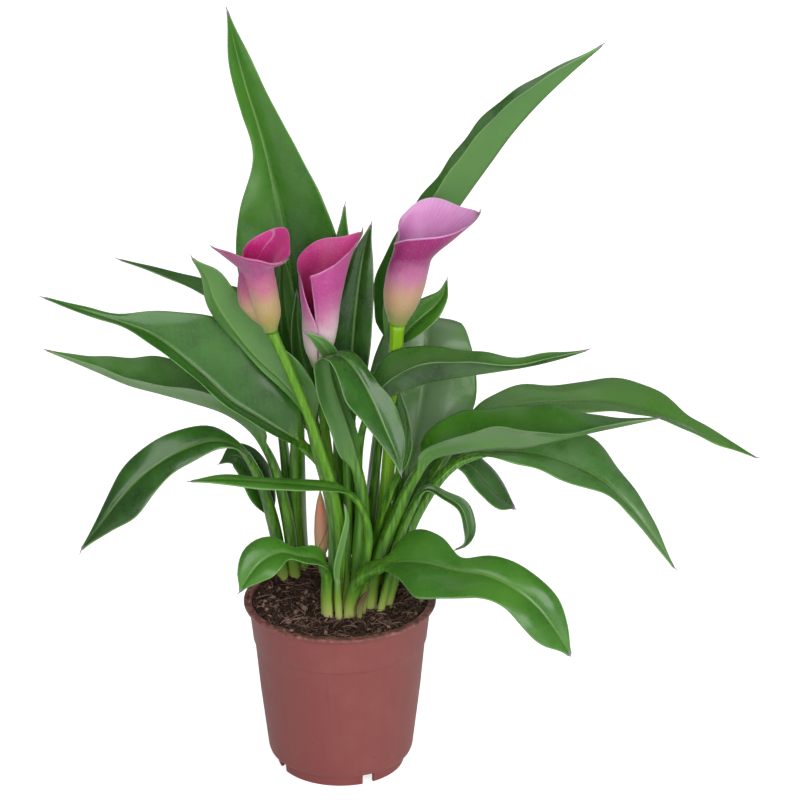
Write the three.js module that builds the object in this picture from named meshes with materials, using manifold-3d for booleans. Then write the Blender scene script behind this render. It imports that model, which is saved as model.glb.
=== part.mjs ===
// Potted calla lily in a 12 cm nursery pot: three open flowers, a closed bud and a loose
// crown of lance-shaped leaves that rise from three shoots in dark peat.
// Millimetres, +Z up. The origin is the centre of the flat foot under the pot.
import * as THREE from 'three';
import { mergeVertices } from 'three/addons/utils/BufferGeometryUtils.js';
import Module from 'manifold-3d';

// ---- driving dimensions -------------------------------------------------------------
const POT_HEIGHT = 112;
const RIM_RADIUS = 60;
const FOOT_RADIUS = 40;
const FOOT_HEIGHT = 6.5;
const WALL = 1.2;
const HUB_RADIUS = 18;
const STEP_DOWN = 26; // stacking step, below the top of the rim
const POT_SIDES = 40;
const SLOT_WIDTH = 7.5;
const SLOT_RISE = 2; // how far the slots cut into the corner of the wall above the foot
const SLOT_ANGLES = [-64, 26, 116, 206]; // degrees from +X
const DRAIN_RADIUS = 4;
const DRAIN_RING = 28;
const DRAIN_COUNT = 6;

const SOIL_TOP = 107;
const CLEARANCE = 0.5; // between the soil and what stands in it
const ROOT_Z = 92; // every stalk starts here, inside the soil

const BLADE_THICKNESS = 0.9;
const TIP_HALF_WIDTH = 0.6;
const ACROSS = 4;

const wasm = await Module();
wasm.setup();

// ---- small helpers ------------------------------------------------------------------
const smooth = (x) => {
  const c = Math.min(1, Math.max(0, x));
  return c * c * (3 - 2 * c);
};

const radians = (degrees) => (degrees * Math.PI) / 180;

// A list of values at even stations, read at t between 0 and 1 along a smooth curve.
function along(values, t) {
  if (values.length === 1) return values[0];
  const last = values.length - 1;
  const place = Math.min(last - 1e-6, Math.max(0, t * last));
  const k = Math.floor(place);
  const f = place - k;
  const p0 = values[Math.max(0, k - 1)];
  const p1 = values[k];
  const p2 = values[k + 1];
  const p3 = values[Math.min(last, k + 2)];
  const tangent1 = (p2 - p0) / 2;
  const tangent2 = (p3 - p1) / 2;
  return p1 + f * (tangent1 + f * (3 * (p2 - p1) - 2 * tangent1 - tangent2
    + f * (2 * (p1 - p2) + tangent1 + tangent2)));
}

function welded(geometry) {
  const g = geometry.clone();
  g.deleteAttribute('normal');
  g.deleteAttribute('uv');
  return mergeVertices(g, 1e-4);
}

function solid(geometry) {
  const g = welded(geometry);
  return new wasm.Manifold(new wasm.Mesh({
    numProp: 3,
    vertProperties: new Float32Array(g.attributes.position.array),
    triVerts: new Uint32Array(g.index.array),
  }));
}

function fromSolid(body) {
  const mesh = body.getMesh();
  const g = new THREE.BufferGeometry();
  g.setAttribute('position', new THREE.BufferAttribute(new Float32Array(mesh.vertProperties), 3));
  g.setIndex(new THREE.BufferAttribute(new Uint32Array(mesh.triVerts), 1));
  g.computeVertexNormals();
  return g;
}

const group = new THREE.Group();
group.name = 'potted_calla_lily';

function add(name, geometry, colour, roughness) {
  const material = new THREE.MeshStandardMaterial({ color: colour, roughness, metalness: 0 });
  const mesh = new THREE.Mesh(geometry, material);
  mesh.name = name;
  group.add(mesh);
  return mesh;
}

// A unit box, one cell thick, whose two large faces are cut into triangles along the same
// diagonals, so that a thin bent sheet never cuts through itself.
function sheet(across, steps) {
  const g = new THREE.BoxGeometry(1, 1, 1, across, steps, 1);
  const index = g.index.array;
  const back = g.groups[5];
  for (let i = back.start; i < back.start + back.count; i += 6) {
    const [a, b, d, , c] = index.slice(i, i + 6);
    index.set([a, b, c, a, c, d], i);
  }
  return g;
}

function turned(profile, sides) {
  return new THREE.LatheGeometry(profile.map(([r, z]) => new THREE.Vector2(r, z)), sides)
    .rotateX(Math.PI / 2);
}

function rod(points, radius, steps, sides) {
  const circle = new THREE.Shape();
  circle.absarc(0, 0, radius, 0, 2 * Math.PI, false);
  const path = new THREE.CatmullRomCurve3(
    points.map((p) => new THREE.Vector3(...p)), false, 'centripetal');
  return new THREE.ExtrudeGeometry(circle, { steps, curveSegments: sides, extrudePath: path });
}

// ---- pot ----------------------------------------------------------------------------
// Outer wall from the foot to the rim, then the inner wall back down to the floor.
const POT_PROFILE = [
  [0, 0], [HUB_RADIUS, 0], [HUB_RADIUS + 1, FOOT_HEIGHT], [FOOT_RADIUS - 2, FOOT_HEIGHT],
  [FOOT_RADIUS - 2, 0], [FOOT_RADIUS, 0], [FOOT_RADIUS + 0.4, FOOT_HEIGHT], [44.6, 8.8],
  [45.6, 11.5], [50.3, 52], [53.4, POT_HEIGHT - STEP_DOWN - 0.6],
  [54.3, POT_HEIGHT - STEP_DOWN], [56.5, 106], [56.9, 108.8], [59.4, 109.2],
  [RIM_RADIUS, 110], [RIM_RADIUS, 111.4], [59.3, POT_HEIGHT], [55.6, POT_HEIGHT],
  [54.9, 111], [55.2, 106], [53.1, POT_HEIGHT - STEP_DOWN],
  [52.2, POT_HEIGHT - STEP_DOWN - 0.6], [49.1, 52], [44.4, 11.8],
  [43.4, FOOT_HEIGHT + WALL + 1.6], [41.6, FOOT_HEIGHT + WALL],
  [HUB_RADIUS - 0.2, FOOT_HEIGHT + WALL], [HUB_RADIUS - 1.2, WALL], [0, WALL],
];

function potGeometry() {
  let body = solid(turned(POT_PROFILE, POT_SIDES));
  for (const angle of SLOT_ANGLES) {
    const slot = new THREE.BoxGeometry(10, SLOT_WIDTH, FOOT_HEIGHT + SLOT_RISE + 1)
      .translate(FOOT_RADIUS + 1, 0, (FOOT_HEIGHT + SLOT_RISE - 1) / 2)
      .rotateZ(radians(angle));
    body = body.subtract(solid(slot));
  }
  for (let k = 0; k < DRAIN_COUNT; k += 1) {
    const drain = new THREE.CylinderGeometry(DRAIN_RADIUS, DRAIN_RADIUS, 4, 12)
      .rotateX(Math.PI / 2)
      .translate(DRAIN_RING, 0, FOOT_HEIGHT + WALL / 2)
      .rotateZ(radians(30 + (360 / DRAIN_COUNT) * k));
    body = body.subtract(solid(drain));
  }
  return fromSolid(body);
}

add('pot', potGeometry(), 0x8f5252, 0.5);

// ---- leaves -------------------------------------------------------------------------
// at      points of the stalk and midrib, from the soil to the tip
// blade   where the blade starts, as a part of the whole length
// half    half-width of the blade at even stations from its start to the tip
// other   the same for the half that lies to the left of the way the leaf grows, if it differs
// roll    turn of the blade about its midrib, in degrees, at even stations
// fold    lift of each half from flat, in degrees, at even stations
// curl    further lift of the margin, in degrees
// wave    [height, waves, phase] of the margin
// stalk   radius of the stalk at the soil
const LEAVES = [
  {
    name: 'leaf_tall_left',
    at: [[-20, 35, 92], [-26, 35, 155], [-26, 35, 229], [-27, 38, 290], [-34, 42, 344],
      [-42, 43, 382], [-48, 43, 407], [-55, 42, 432], [-61, 40, 458], [-65, 38, 480]],
    blade: 0.38, half: [3, 20, 31, 36, 34, 26, 17, 9.5, 1],
    other: [3, 20, 30, 33, 27, 10, 10, 9, 1],
    roll: [-72, -87, -82, -72], fold: [25, 15, 30, 40, 35], curl: 5, wave: [1.5, 3, 0], stalk: 3.8,
  },
  {
    name: 'leaf_tall_right',
    at: [[17, 20.5, 92], [19, 28, 165], [26, 33, 230], [38, 37, 275], [50, 39, 315],
      [63, 40, 342], [77, 41, 363], [91, 42, 383], [105, 42, 403], [121, 42, 422],
      [139, 42, 440], [158, 43, 457]],
    blade: 0.4, half: [3, 18, 25, 25, 24, 21, 20, 19, 14, 7, 1],
    roll: [0, 0, -5, -10], fold: [50, 58, 66, 75], curl: 0, wave: [1, 3, 1], stalk: 3.6,
  },
  {
    name: 'leaf_back_left',
    at: [[-24, 42.5, 92], [-31, 42, 162], [-37, 42, 215], [-47, 44, 262],
      [-62, 47, 290], [-81, 50, 297], [-99, 52, 304], [-118, 53, 311],
      [-134, 54, 316]],
    blade: 0.52, half: [3, 12, 14, 13, 9.5, 4, 1],
    other: [3, 12, 14, 12, 7, 4, 1],
    roll: [-5], fold: [12], curl: 0, wave: [1, 2, 0], stalk: 3.2,
  },
  {
    name: 'leaf_upright_left',
    at: [[-4, -0.5, 92], [-2.5, -5, 168], [-13, -10, 216], [-21, -13, 248],
      [-33, -15, 265], [-50, -13, 281], [-63, -14, 299.5], [-73, -18, 318.5],
      [-77.5, -22, 334.3], [-85, -28, 348]],
    blade: 0.5, half: [3, 6, 6, 5, 9, 5, 1],
    other: [3, 12, 17, 17, 15, 10.5, 1],
    roll: [50, 60, 60], fold: [15, 10, 20], curl: 0, wave: [1, 3, 0], stalk: 3.2,
  },
  {
    name: 'leaf_broad_left',
    at: [[3, 2, 92], [0, 0.6, 168], [-8, -1, 200], [-25, -3, 219], [-47, -5, 235],
      [-66, -7, 249], [-85, -8, 269], [-113, -7, 292], [-145, -4, 303],
      [-176, 0, 312]],
    blade: 0.4, half: [3, 20, 32, 36, 33, 18, 5.5, 3, 1],
    other: [3, 12, 12, 13, 12, 13, 6, 6, 1],
    roll: [-40, -42, -40, -25], fold: [35, 38, 35, 20], curl: 0, wave: [2, 3, 0], stalk: 3.4,
  },
  {
    name: 'leaf_folded_left',
    at: [[-25.5, 28.5, 92], [-33, 27, 160], [-43, 21, 200], [-55, 17, 220],
      [-70, 14, 232], [-87, 12, 239], [-108, 10, 246], [-128, 9, 252],
      [-147, 8, 261], [-168, 7, 271], [-177, 7, 275]],
    blade: 0.42, half: [3, 15, 24, 26, 23, 16, 8, 1],
    other: [3, 15, 22, 22, 17, 12, 6, 1],
    roll: [0], fold: [38], curl: 0, wave: [1.5, 3, 0], stalk: 3.3,
  },
  {
    name: 'leaf_drooping_left',
    at: [[-32.5, 31, 92], [-41, 26, 152], [-51, 17, 190], [-61, 8, 210], [-76, 3, 217],
      [-97, -3, 213], [-119, -8, 200], [-134, -12, 185], [-147, -15, 168],
      [-158, -16, 153]],
    blade: 0.45, half: [3, 10, 12, 12.5, 13, 10, 4.5, 1],
    other: [3, 5, 9, 11, 15, 17, 8, 1],
    roll: [-20, -35, -40, -35], fold: [15, 8, 12], curl: -10, wave: [2, 3, 2], stalk: 3.3,
  },
  {
    name: 'leaf_blunt_left',
    at: [[-30.5, 38.5, 92], [-45, 37, 156], [-53, 36, 177], [-59, 37, 188],
      [-66, 38, 192], [-75, 39, 186]],
    blade: 0.5, half: [3, 11, 15, 14, 9, 1],
    roll: [-30], fold: [12], curl: -10, wave: [1, 2, 0], stalk: 3,
  },
  {
    name: 'leaf_level_front',
    at: [[13, -10.5, 92], [17, -12, 141], [19, -14, 161], [15, -17, 180], [7, -22, 193],
      [-11, -27, 200], [-41, -32, 205], [-68, -37, 209], [-88, -42, 210]],
    blade: 0.5, half: [2.4, 7, 8, 7, 5, 1],
    roll: [-10], fold: [15, 5, 15], curl: -20, wave: [1, 2, 0], stalk: 2.4,
  },
  {
    name: 'leaf_low_front',
    at: [[-6, -15.5, 92], [-7, -15, 120], [-7, -16, 136], [-13, -21, 148],
      [-24, -27, 153], [-36, -32, 158], [-47, -36, 154], [-55, -39, 145],
      [-60, -41, 136]],
    blade: 0.38, half: [3, 9, 8, 6, 12, 13, 8, 1],
    other: [3, 9, 8, 5, 11, 13, 8, 1],
    roll: [-25, -35, -35], fold: [15, 8, 15], curl: 0, wave: [1, 2, 0], stalk: 3.7,
  },
  {
    name: 'leaf_arched_centre',
    at: [[9, -4.5, 92], [13, -7, 155], [14, -9, 183], [10, -11, 210], [5, -13, 231],
      [-1, -16, 252], [-5, -18, 270], [-5, -21, 282], [2, -25, 285], [11, -29, 277],
      [21, -32, 259], [29, -34, 240], [35, -36, 225], [38, -37, 213]],
    blade: 0.38, half: [3, 10, 10.5, 12, 11.5, 14, 20, 13, 6.5, 1],
    other: [3, 8, 8, 8, 8, 8, 8, 11.5, 9, 1],
    roll: [0, 0, 5, 10], fold: [5, 5, 8, 8], curl: 0, wave: [1, 3, 0], stalk: 3.4,
  },
  {
    name: 'leaf_tip_centre',
    at: [[2.2, -7.5, 92], [5, -3, 165], [5, -5, 212], [4, -5, 243], [2, -8, 264],
      [-4, -13, 280], [-11, -18, 291], [-19, -20, 298]],
    blade: 0.78, half: [2, 4, 5, 4, 1],
    roll: [66], fold: [10], curl: 0, wave: [0, 2, 0], stalk: 2.2,
  },
  {
    name: 'leaf_dark_upright',
    at: [[10, 20.5, 92], [9.5, 18, 157], [8, 15, 206], [7, 14, 240], [8, 14, 267],
      [10, 14, 293], [13, 15, 319], [16, 17, 337], [20, 19, 352]],
    blade: 0.5, half: [3, 9, 12, 12.5, 11, 7.5, 1],
    roll: [88], fold: [18], curl: 0, wave: [0.5, 2, 0], stalk: 2.8,
  },
  {
    name: 'leaf_small_curled',
    at: [[9.5, 11.5, 92], [19, 17, 165], [28, 20, 236], [35, 21, 270], [42, 22, 282],
      [50, 23, 290], [58, 24, 297], [64, 24, 305], [66, 24, 314]],
    blade: 0.78, half: [2, 8, 10, 9, 5, 1],
    roll: [50], fold: [20], curl: 10, wave: [0, 2, 0], stalk: 2.4,
  },
  {
    name: 'leaf_broad_back',
    at: [[24.5, 21, 92], [33, 29, 138], [42, 34, 184], [47, 38, 209], [51, 43, 231],
      [53, 48, 252], [54, 54, 269], [55, 64, 275], [56, 80, 268]],
    blade: 0.42, half: [3, 15, 27, 34, 33, 28, 18, 1],
    roll: [24], fold: [10], curl: 0, wave: [1, 2, 0], stalk: 3.4,
  },
  {
    name: 'leaf_level_right',
    at: [[10, 4, 92], [12, 4, 136], [11, 3, 178], [12, 0, 212], [17, -8, 238],
      [28, -16.4, 254], [50, -21.3, 266], [71, -21, 270], [95, -21, 273.5],
      [116, -21, 277], [134, -22, 282], [149, -22, 287]],
    blade: 0.5, half: [3, 8, 15, 13, 8, 3, 4, 1],
    other: [3, 23, 27, 22, 15.7, 7, 6, 1],
    roll: [-12], fold: [50, 52, 50, 40], curl: 0, wave: [1, 3, 0], stalk: 2.8,
  },
  {
    name: 'leaf_long_right',
    at: [[23.5, 4.5, 92], [33, 8, 131], [48, 12, 172], [72, 19, 210], [88, 25, 223],
      [107, 29, 229], [130, 31, 231], [158, 32, 231], [180, 32, 228], [202, 30, 222],
      [224, 28, 212], [243, 27, 203], [258, 26, 196]],
    blade: 0.4, half: [3, 13, 20, 22, 24, 24, 18, 10, 1],
    other: [3, 11, 17.5, 18.5, 26, 24, 12, 7.5, 1],
    roll: [5], fold: [12], curl: 0, wave: [1.5, 3, 0], stalk: 3.8,
  },
  {
    name: 'leaf_twisted_right',
    at: [[17, -4, 92], [20, -5, 131], [32, -6, 165], [45, -7, 196], [56, -10, 212],
      [77, -14, 219], [98, -17, 222], [116, -20, 224], [134, -22, 229],
      [152, -23, 234], [173, -24, 239], [193, -25, 244]],
    blade: 0.42, half: [3, 18, 27, 29, 24, 15, 8, 1],
    roll: [0], fold: [40, 45, 35, 30], curl: 0, wave: [3, 4, 0], stalk: 4,
  },
  {
    name: 'leaf_drooping_right',
    at: [[24.5, -4, 92], [33, -3, 131], [46, 0, 169], [71, 5, 201], [93, 6, 208],
      [121, 6, 207], [143, 4, 201], [163, 2, 190], [179, 0, 174], [193, -2, 156],
      [207, -4, 135]],
    blade: 0.46, half: [3, 12, 15, 18.5, 10.5, 7, 4.5, 1],
    other: [3, 12, 20, 27, 18.5, 13, 6, 1],
    roll: [10, 25, 25], fold: [12], curl: -10, wave: [1.5, 3, 0], stalk: 3.6,
  },
  {
    name: 'leaf_blunt_right',
    at: [[25, 13, 92], [33, 17, 138], [44, 21, 168], [55, 23.6, 187], [67, 23, 193.2],
      [80, 27, 190], [89, 29, 180], [99, 31, 168], [109, 33, 158]],
    blade: 0.5, half: [3, 6, 3, 4, 10, 14, 15, 12, 2],
    other: [3, 7, 7, 8, 13, 15, 15, 12, 2],
    roll: [30], fold: [10], curl: -10, wave: [1, 2, 0], stalk: 3,
  },
  {
    name: 'leaf_hooked_right',
    at: [[21.5, -10.5, 92], [30, -11, 131], [41, -12, 170], [54, -13, 192],
      [65, -14, 187], [74, -15, 181], [77.5, -16, 173], [79, -18, 164],
      [76.5, -20, 157.5], [72, -21, 155]],
    blade: 0.6, half: [2, 3.5, 4, 5, 8, 1],
    other: [2, 3, 4, 6, 5, 1],
    roll: [30], fold: [25], curl: 0, wave: [0, 2, 0], stalk: 2.2,
  },
  {
    name: 'leaf_low_right',
    at: [[5, -14.5, 92], [7, -17, 121], [14, -23, 139], [24, -28, 147], [38, -35, 153],
      [53, -42, 156], [71, -50, 155], [89, -55, 154], [105, -59, 148],
      [121, -61, 135], [134, -61, 116], [141, -61, 103]],
    blade: 0.3, half: [6, 14, 27, 21.5, 17.5, 15.5, 18, 14, 2],
    other: [6, 21, 18.5, 8.5, 14.3, 15, 14, 9.5, 1.5],
    roll: [20, 35, 35, 30], fold: [12, 5, 10], curl: 0, wave: [1.5, 3, 0], stalk: 3.9,
  },
  {
    name: 'leaf_young_centre',
    at: [[16.5, 3.5, 92], [21, 2, 150], [32, 0, 185], [41, -2, 210], [42, -4, 231],
      [37, -6, 255]],
    blade: 0.62, half: [2, 8, 10, 8, 1],
    roll: [60], fold: [20], curl: 0, wave: [0, 2, 0], stalk: 2.4,
  },
  {
    name: 'leaf_between_flowers',
    at: [[-2, 16, 92], [-1, 18.5, 150], [-12, 20, 202], [-24, 19, 238], [-28, 19, 270],
      [-32, 20, 296], [-33, 21, 316], [-34, 22, 335]],
    blade: 0.5, half: [3, 9, 12, 10, 6, 1],
    roll: [-82], fold: [15], curl: 0, wave: [0.5, 2, 0], stalk: 2.6,
  },
  {
    name: 'leaf_behind_flower',
    at: [[3.5, 20.5, 92], [1.5, 24, 150], [-1, 23, 208], [-1, 24, 256], [0, 24, 295],
      [2, 25, 331], [4, 26, 361]],
    blade: 0.5, half: [3, 10, 13, 11, 6, 1],
    roll: [8], fold: [18], curl: 0, wave: [0.5, 2, 0], stalk: 2.6,
  },
  {
    name: 'leaf_shaded_centre',
    at: [[-3.5, 9, 92], [-2.5, 13, 150], [-10, 12, 200], [-17, 9, 240], [-22, 8, 269],
      [-25, 9, 295], [-25, 10, 312]],
    blade: 0.6, half: [2, 6, 7, 5, 1],
    roll: [-70], fold: [15], curl: 0, wave: [0, 2, 0], stalk: 2.4,
  },
  {
    name: 'leaf_young_front',
    at: [[-0.2, -19, 92], [-1, -18, 136], [3, -19, 156], [6, -20, 174], [4, -21, 184]],
    blade: 0.4, half: [2, 4, 4, 3, 0.8],
    roll: [0], fold: [40], curl: 0, wave: [0, 2, 0], stalk: 2.2,
  },
  {
    name: 'sheath_front',
    at: [[12, -19.5, 92], [12.2, -19.8, 107], [14.2, -20.2, 117], [18.4, -20.5, 127]],
    blade: 0.42, half: [2, 4, 3, 0.8],
    roll: [0], fold: [40], curl: 0, wave: [0, 2, 0], stalk: 2,
  },
];

function leafGeometry(leaf) {
  const spine = new THREE.CatmullRomCurve3(
    leaf.at.map((p) => new THREE.Vector3(...p)), false, 'centripetal');
  const length = spine.getLength();
  const first = leaf.at[0];
  const last = leaf.at[leaf.at.length - 1];
  const outward = new THREE.Vector3(last[0] - first[0], last[1] - first[1], 0).normalize();
  const side = new THREE.Vector3(0, 0, 1).cross(outward);
  const widest = Math.max(...leaf.half);
  const stalkSteps = Math.max(2, Math.round((length * leaf.blade) / 32));
  const bladeSteps = Math.max(7, Math.min(11, Math.round((length * (1 - leaf.blade)) / 16)));
  const g = sheet(ACROSS, stalkSteps + bladeSteps);
  const position = g.attributes.position;
  const a = new THREE.Vector3();
  const n = new THREE.Vector3();
  for (let i = 0; i < position.count; i += 1) {
    const across = -2 * position.getX(i);
    const face = 2 * position.getZ(i);
    const step = (position.getY(i) + 0.5) * (stalkSteps + bladeSteps);
    const u = step <= stalkSteps
      ? (step / stalkSteps) * leaf.blade
      : leaf.blade + ((step - stalkSteps) / bladeSteps) * (1 - leaf.blade);
    const t = Math.max(0, (u - leaf.blade) / (1 - leaf.blade));
    const centre = spine.getPointAt(u);
    const tangent = spine.getTangentAt(u);
    a.copy(side).addScaledVector(tangent, -side.dot(tangent)).normalize();
    n.crossVectors(tangent, a);
    const roll = radians(along(leaf.roll, t)) * smooth(u / leaf.blade);
    const ar = a.clone().multiplyScalar(Math.cos(roll)).addScaledVector(n, Math.sin(roll));
    const nr = n.clone().multiplyScalar(Math.cos(roll)).addScaledVector(a, -Math.sin(roll));

    const radius = leaf.stalk * (1 - 0.3 * Math.min(1, u / leaf.blade));
    const turn = (Math.PI / 2) - across * radians(72);
    const round = [radius * Math.cos(turn), radius * Math.sin(turn) * face];

    const widths = across > 0 && leaf.other ? leaf.other : leaf.half;
    const half = Math.max(TIP_HALF_WIDTH, along(widths, t));
    const fold = radians(along(leaf.fold, t));
    const bend = radians(leaf.curl);
    const out = Math.abs(across);
    let x = 0;
    let z = 0;
    for (let k = 0; k < 4; k += 1) {
      const angle = fold + bend * ((k + 0.5) / 4) * out;
      x += (half * out * Math.cos(angle)) / 4;
      z += (half * out * Math.sin(angle)) / 4;
    }
    const ripple = leaf.wave[0] * out * out * Math.sin(Math.PI * leaf.wave[1] * t
      + leaf.wave[2] + (across < 0 ? 2 : 0)) * Math.min(1, (1.5 * half) / widest);
    const rib = face < 0 ? Math.max(0, 1 - 2 * out) * radius * (1 - t) ** 1.5 : 0;
    const flat = [
      x * Math.sign(across),
      z + ripple + face * (BLADE_THICKNESS / 2) - rib,
    ];
    const mix = smooth(t / 0.1);
    const sx = round[0] + (flat[0] - round[0]) * mix;
    const sz = round[1] + (flat[1] - round[1]) * mix;
    centre.addScaledVector(ar, sx).addScaledVector(nr, sz);
    position.setXYZ(i, centre.x, centre.y, centre.z);
  }
  g.computeVertexNormals();
  return g;
}

for (const leaf of LEAVES) {
  add(leaf.name, leafGeometry(leaf), 0x3f6e22, 0.45);
}

// ---- flowers ------------------------------------------------------------------------
// stem    points from the soil to the base of the flower, and its radius
// axis    direction of the funnel
// tip     direction in which the drawn-out tip of the sheet lies
// radii   of the funnel at even stations from the throat to the mouth
// wrap    turn of each half of the sheet away from the tip: [throat, mouth] in degrees
// rim     height of the rim at even stations from one margin through the tip to the other
// flare   how far the rim turns outwards at the same stations
// lap     +1 or -1: which margin lies outside
// dip     how far the tip hangs below the rim beside it
// bulge   how far the sheet swells beside the margin that lies inside
const FLOWERS = [
  {
    name: 'left',
    stem: [[-4, -7.8, 92], [1, -10, 142], [-2, -14, 185], [-10, -17, 216], [-19, -20, 247],
      [-31, -23, 280], [-39, -24, 300]],
    radius: 3, axis: [-0.17, -0.05, 1], tip: [0.65, -0.75, 0],
    radii: [3.4, 7.2, 8.1, 8.4, 8.6, 10, 13], wrap: [[100, 131], [288, 215]],
    rim: [62, 62, 58, 60, 61, 54, 46], flare: [11, 7, 7, 8, 8, 3, -3], lap: -1,
    dip: 11, bulge: 9, colour: 0xc0247c, stalkColour: 0x5f8f10,
  },
  {
    name: 'middle',
    stem: [[3, 9, 92], [0.5, 7.5, 155], [-5.5, 5, 200], [-10, 1, 240], [-12, -2, 268]],
    radius: 2.8, axis: [0.06, -0.05, 1], tip: [0.85, 0.5, 0],
    radii: [3.4, 8, 10, 10.6, 12, 13, 14], wrap: [[140, 150], [235, 175]],
    rim: [66, 74, 80, 80, 77, 70, 62], flare: [2, 2, 1, 4, 3, 1, 0], lap: 1,
    dip: 0, bulge: 0, colour: 0xa02d5f, stalkColour: 0x5f8f10,
  },
  {
    name: 'right',
    stem: [[17, 11.5, 92], [27, 12, 160], [32, 11, 221], [34, 9, 255], [36, 6, 293]],
    radius: 4.2, axis: [0.18, -0.05, 1], tip: [1, 0.15, 0],
    radii: [4.8, 8.8, 11, 11.5, 11.7, 12.3, 13], wrap: [[200, 165], [200, 175]],
    rim: [54, 63, 69, 73, 76, 66, 60], flare: [-2, 3, 9, 16, 10, 1, -3], lap: -1,
    dip: 0, bulge: 0, colour: 0xce89c2, stalkColour: 0x6b9a08,
  },
];

function flowerFrame(flower) {
  const axis = new THREE.Vector3(...flower.axis).normalize();
  const tip = new THREE.Vector3(...flower.tip);
  tip.addScaledVector(axis, -tip.dot(axis)).normalize();
  const aside = new THREE.Vector3().crossVectors(axis, tip);
  const base = new THREE.Vector3(...flower.stem[flower.stem.length - 1]);
  return { axis, tip, aside, base };
}

function spathePoint(flower, frame, u, v, face) {
  const side = u < 0 ? flower.wrap[0] : flower.wrap[1];
  const turn = u * radians(side[0] + (side[1] - side[0]) * smooth((v - 0.35) / 0.65));
  const station = (u + 1) / 2;
  const point = 6 * Math.exp(-((u / 0.1) ** 2)) * v ** 10;
  const lip = smooth((v - 0.6) / 0.4);
  const hang = Math.exp(-((u / 0.2) ** 2)) * lip ** 2 * flower.dip;
  const height = 1.2 + v * along(flower.rim, station) + point * 0.7 - hang;
  const swell = flower.bulge * Math.exp(-(((u - 0.74) / 0.12) ** 2))
    * smooth(v / 0.4) * smooth((1.05 - v) / 0.3);
  const radius = along(flower.radii, v) + along(flower.flare, station) * lip + point + swell
    + flower.lap * 0.85 * u + face * (BLADE_THICKNESS / 2);
  return frame.base.clone()
    .addScaledVector(frame.axis, height - face * lip * 0.3)
    .addScaledVector(frame.tip, radius * Math.cos(turn))
    .addScaledVector(frame.aside, radius * Math.sin(turn));
}

function spatheGeometry(flower) {
  const frame = flowerFrame(flower);
  const g = sheet(20, 8);
  const position = g.attributes.position;
  for (let i = 0; i < position.count; i += 1) {
    const p = spathePoint(flower, frame, 2 * position.getX(i), position.getY(i) + 0.5,
      2 * position.getZ(i));
    position.setXYZ(i, p.x, p.y, p.z);
  }
  g.computeVertexNormals();
  return g;
}

function spadixGeometry(flower) {
  const frame = flowerFrame(flower);
  const g = turned([[0, 1.2], [2, 1.2], [3.1, 6], [3.3, 22], [2.4, 33], [0, 36]], 10);
  const turn = new THREE.Quaternion().setFromUnitVectors(new THREE.Vector3(0, 0, 1), frame.axis);
  return g.applyQuaternion(turn).translate(frame.base.x, frame.base.y, frame.base.z);
}

for (const flower of FLOWERS) {
  add(`flower_stem_${flower.name}`, rod(flower.stem, flower.radius, 12, 5),
    flower.stalkColour, 0.4);
  add(`spathe_${flower.name}`, spatheGeometry(flower), flower.colour, 0.45);
  add(`spadix_${flower.name}`, spadixGeometry(flower), 0xd8b040, 0.7);
}

// ---- closed bud ---------------------------------------------------------------------
const BUD_STEM = [[-11.5, 30, 92], [-11.5, 30, 110], [-11.5, 30, 127]];
const BUD_AXIS = [-0.02, -0.02, 1];
const BUD_PROFILE = [[0, 0.4], [2.4, 0.4], [4.7, 6], [4.7, 16], [4, 27], [2.4, 37], [0, 46]];

function budGeometry() {
  const axis = new THREE.Vector3(...BUD_AXIS).normalize();
  const turn = new THREE.Quaternion().setFromUnitVectors(new THREE.Vector3(0, 0, 1), axis);
  return turned(BUD_PROFILE, 12).applyQuaternion(turn).translate(...BUD_STEM[2]);
}

add('flower_stem_bud', rod(BUD_STEM, 2.4, 3, 5), 0x6f8f3a, 0.5);
add('flower_bud', budGeometry(), 0xb08060, 0.5);

// ---- soil ---------------------------------------------------------------------------
const SOIL_PROFILE = [
  [0, WALL + 0.5], [HUB_RADIUS - 1.8, WALL + 0.5], [HUB_RADIUS - 1, FOOT_HEIGHT + WALL + 0.5],
  [41.2, FOOT_HEIGHT + WALL + 0.5], [43.6, 13], [48.2, 52], [51.2, 85], [52.2, 87],
  [54, SOIL_TOP - 1.5], [40, SOIL_TOP - 0.5], [0, SOIL_TOP],
];

// Hole for one stalk, along its first few millimetres.
function pocket(points, radius) {
  const start = new THREE.Vector3(...points[0]);
  const next = new THREE.Vector3(...points[1]);
  const lean = next.sub(start).normalize();
  const path = new THREE.LineCurve3(
    start.clone().addScaledVector(lean, -CLEARANCE),
    start.clone().addScaledVector(lean, 2 * (SOIL_TOP - ROOT_Z)));
  const circle = new THREE.Shape();
  circle.absarc(0, 0, radius + CLEARANCE, 0, 2 * Math.PI, false);
  return new THREE.ExtrudeGeometry(circle, { steps: 1, curveSegments: 5, extrudePath: path });
}

function soilGeometry() {
  const holes = [
    ...LEAVES.map((leaf) => [leaf.at, leaf.stalk]),
    ...FLOWERS.map((flower) => [flower.stem, flower.radius]),
    [BUD_STEM, 2.4],
  ];
  let body = solid(turned(SOIL_PROFILE, POT_SIDES));
  for (const [points, radius] of holes) {
    body = body.subtract(solid(pocket(points, radius)));
  }
  const pieces = body.decompose();
  pieces.sort((p, q) => q.volume() - p.volume());
  return fromSolid(pieces[0]);
}

add('soil', soilGeometry(), 0x1c1814, 0.95);

export default group;
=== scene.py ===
"""Potted calla lily: the visible pot, peat, leaves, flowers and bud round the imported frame.

Sizes in the tables are millimetres, +Z up, from the centre of the pot's foot.
"""

import math

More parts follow.
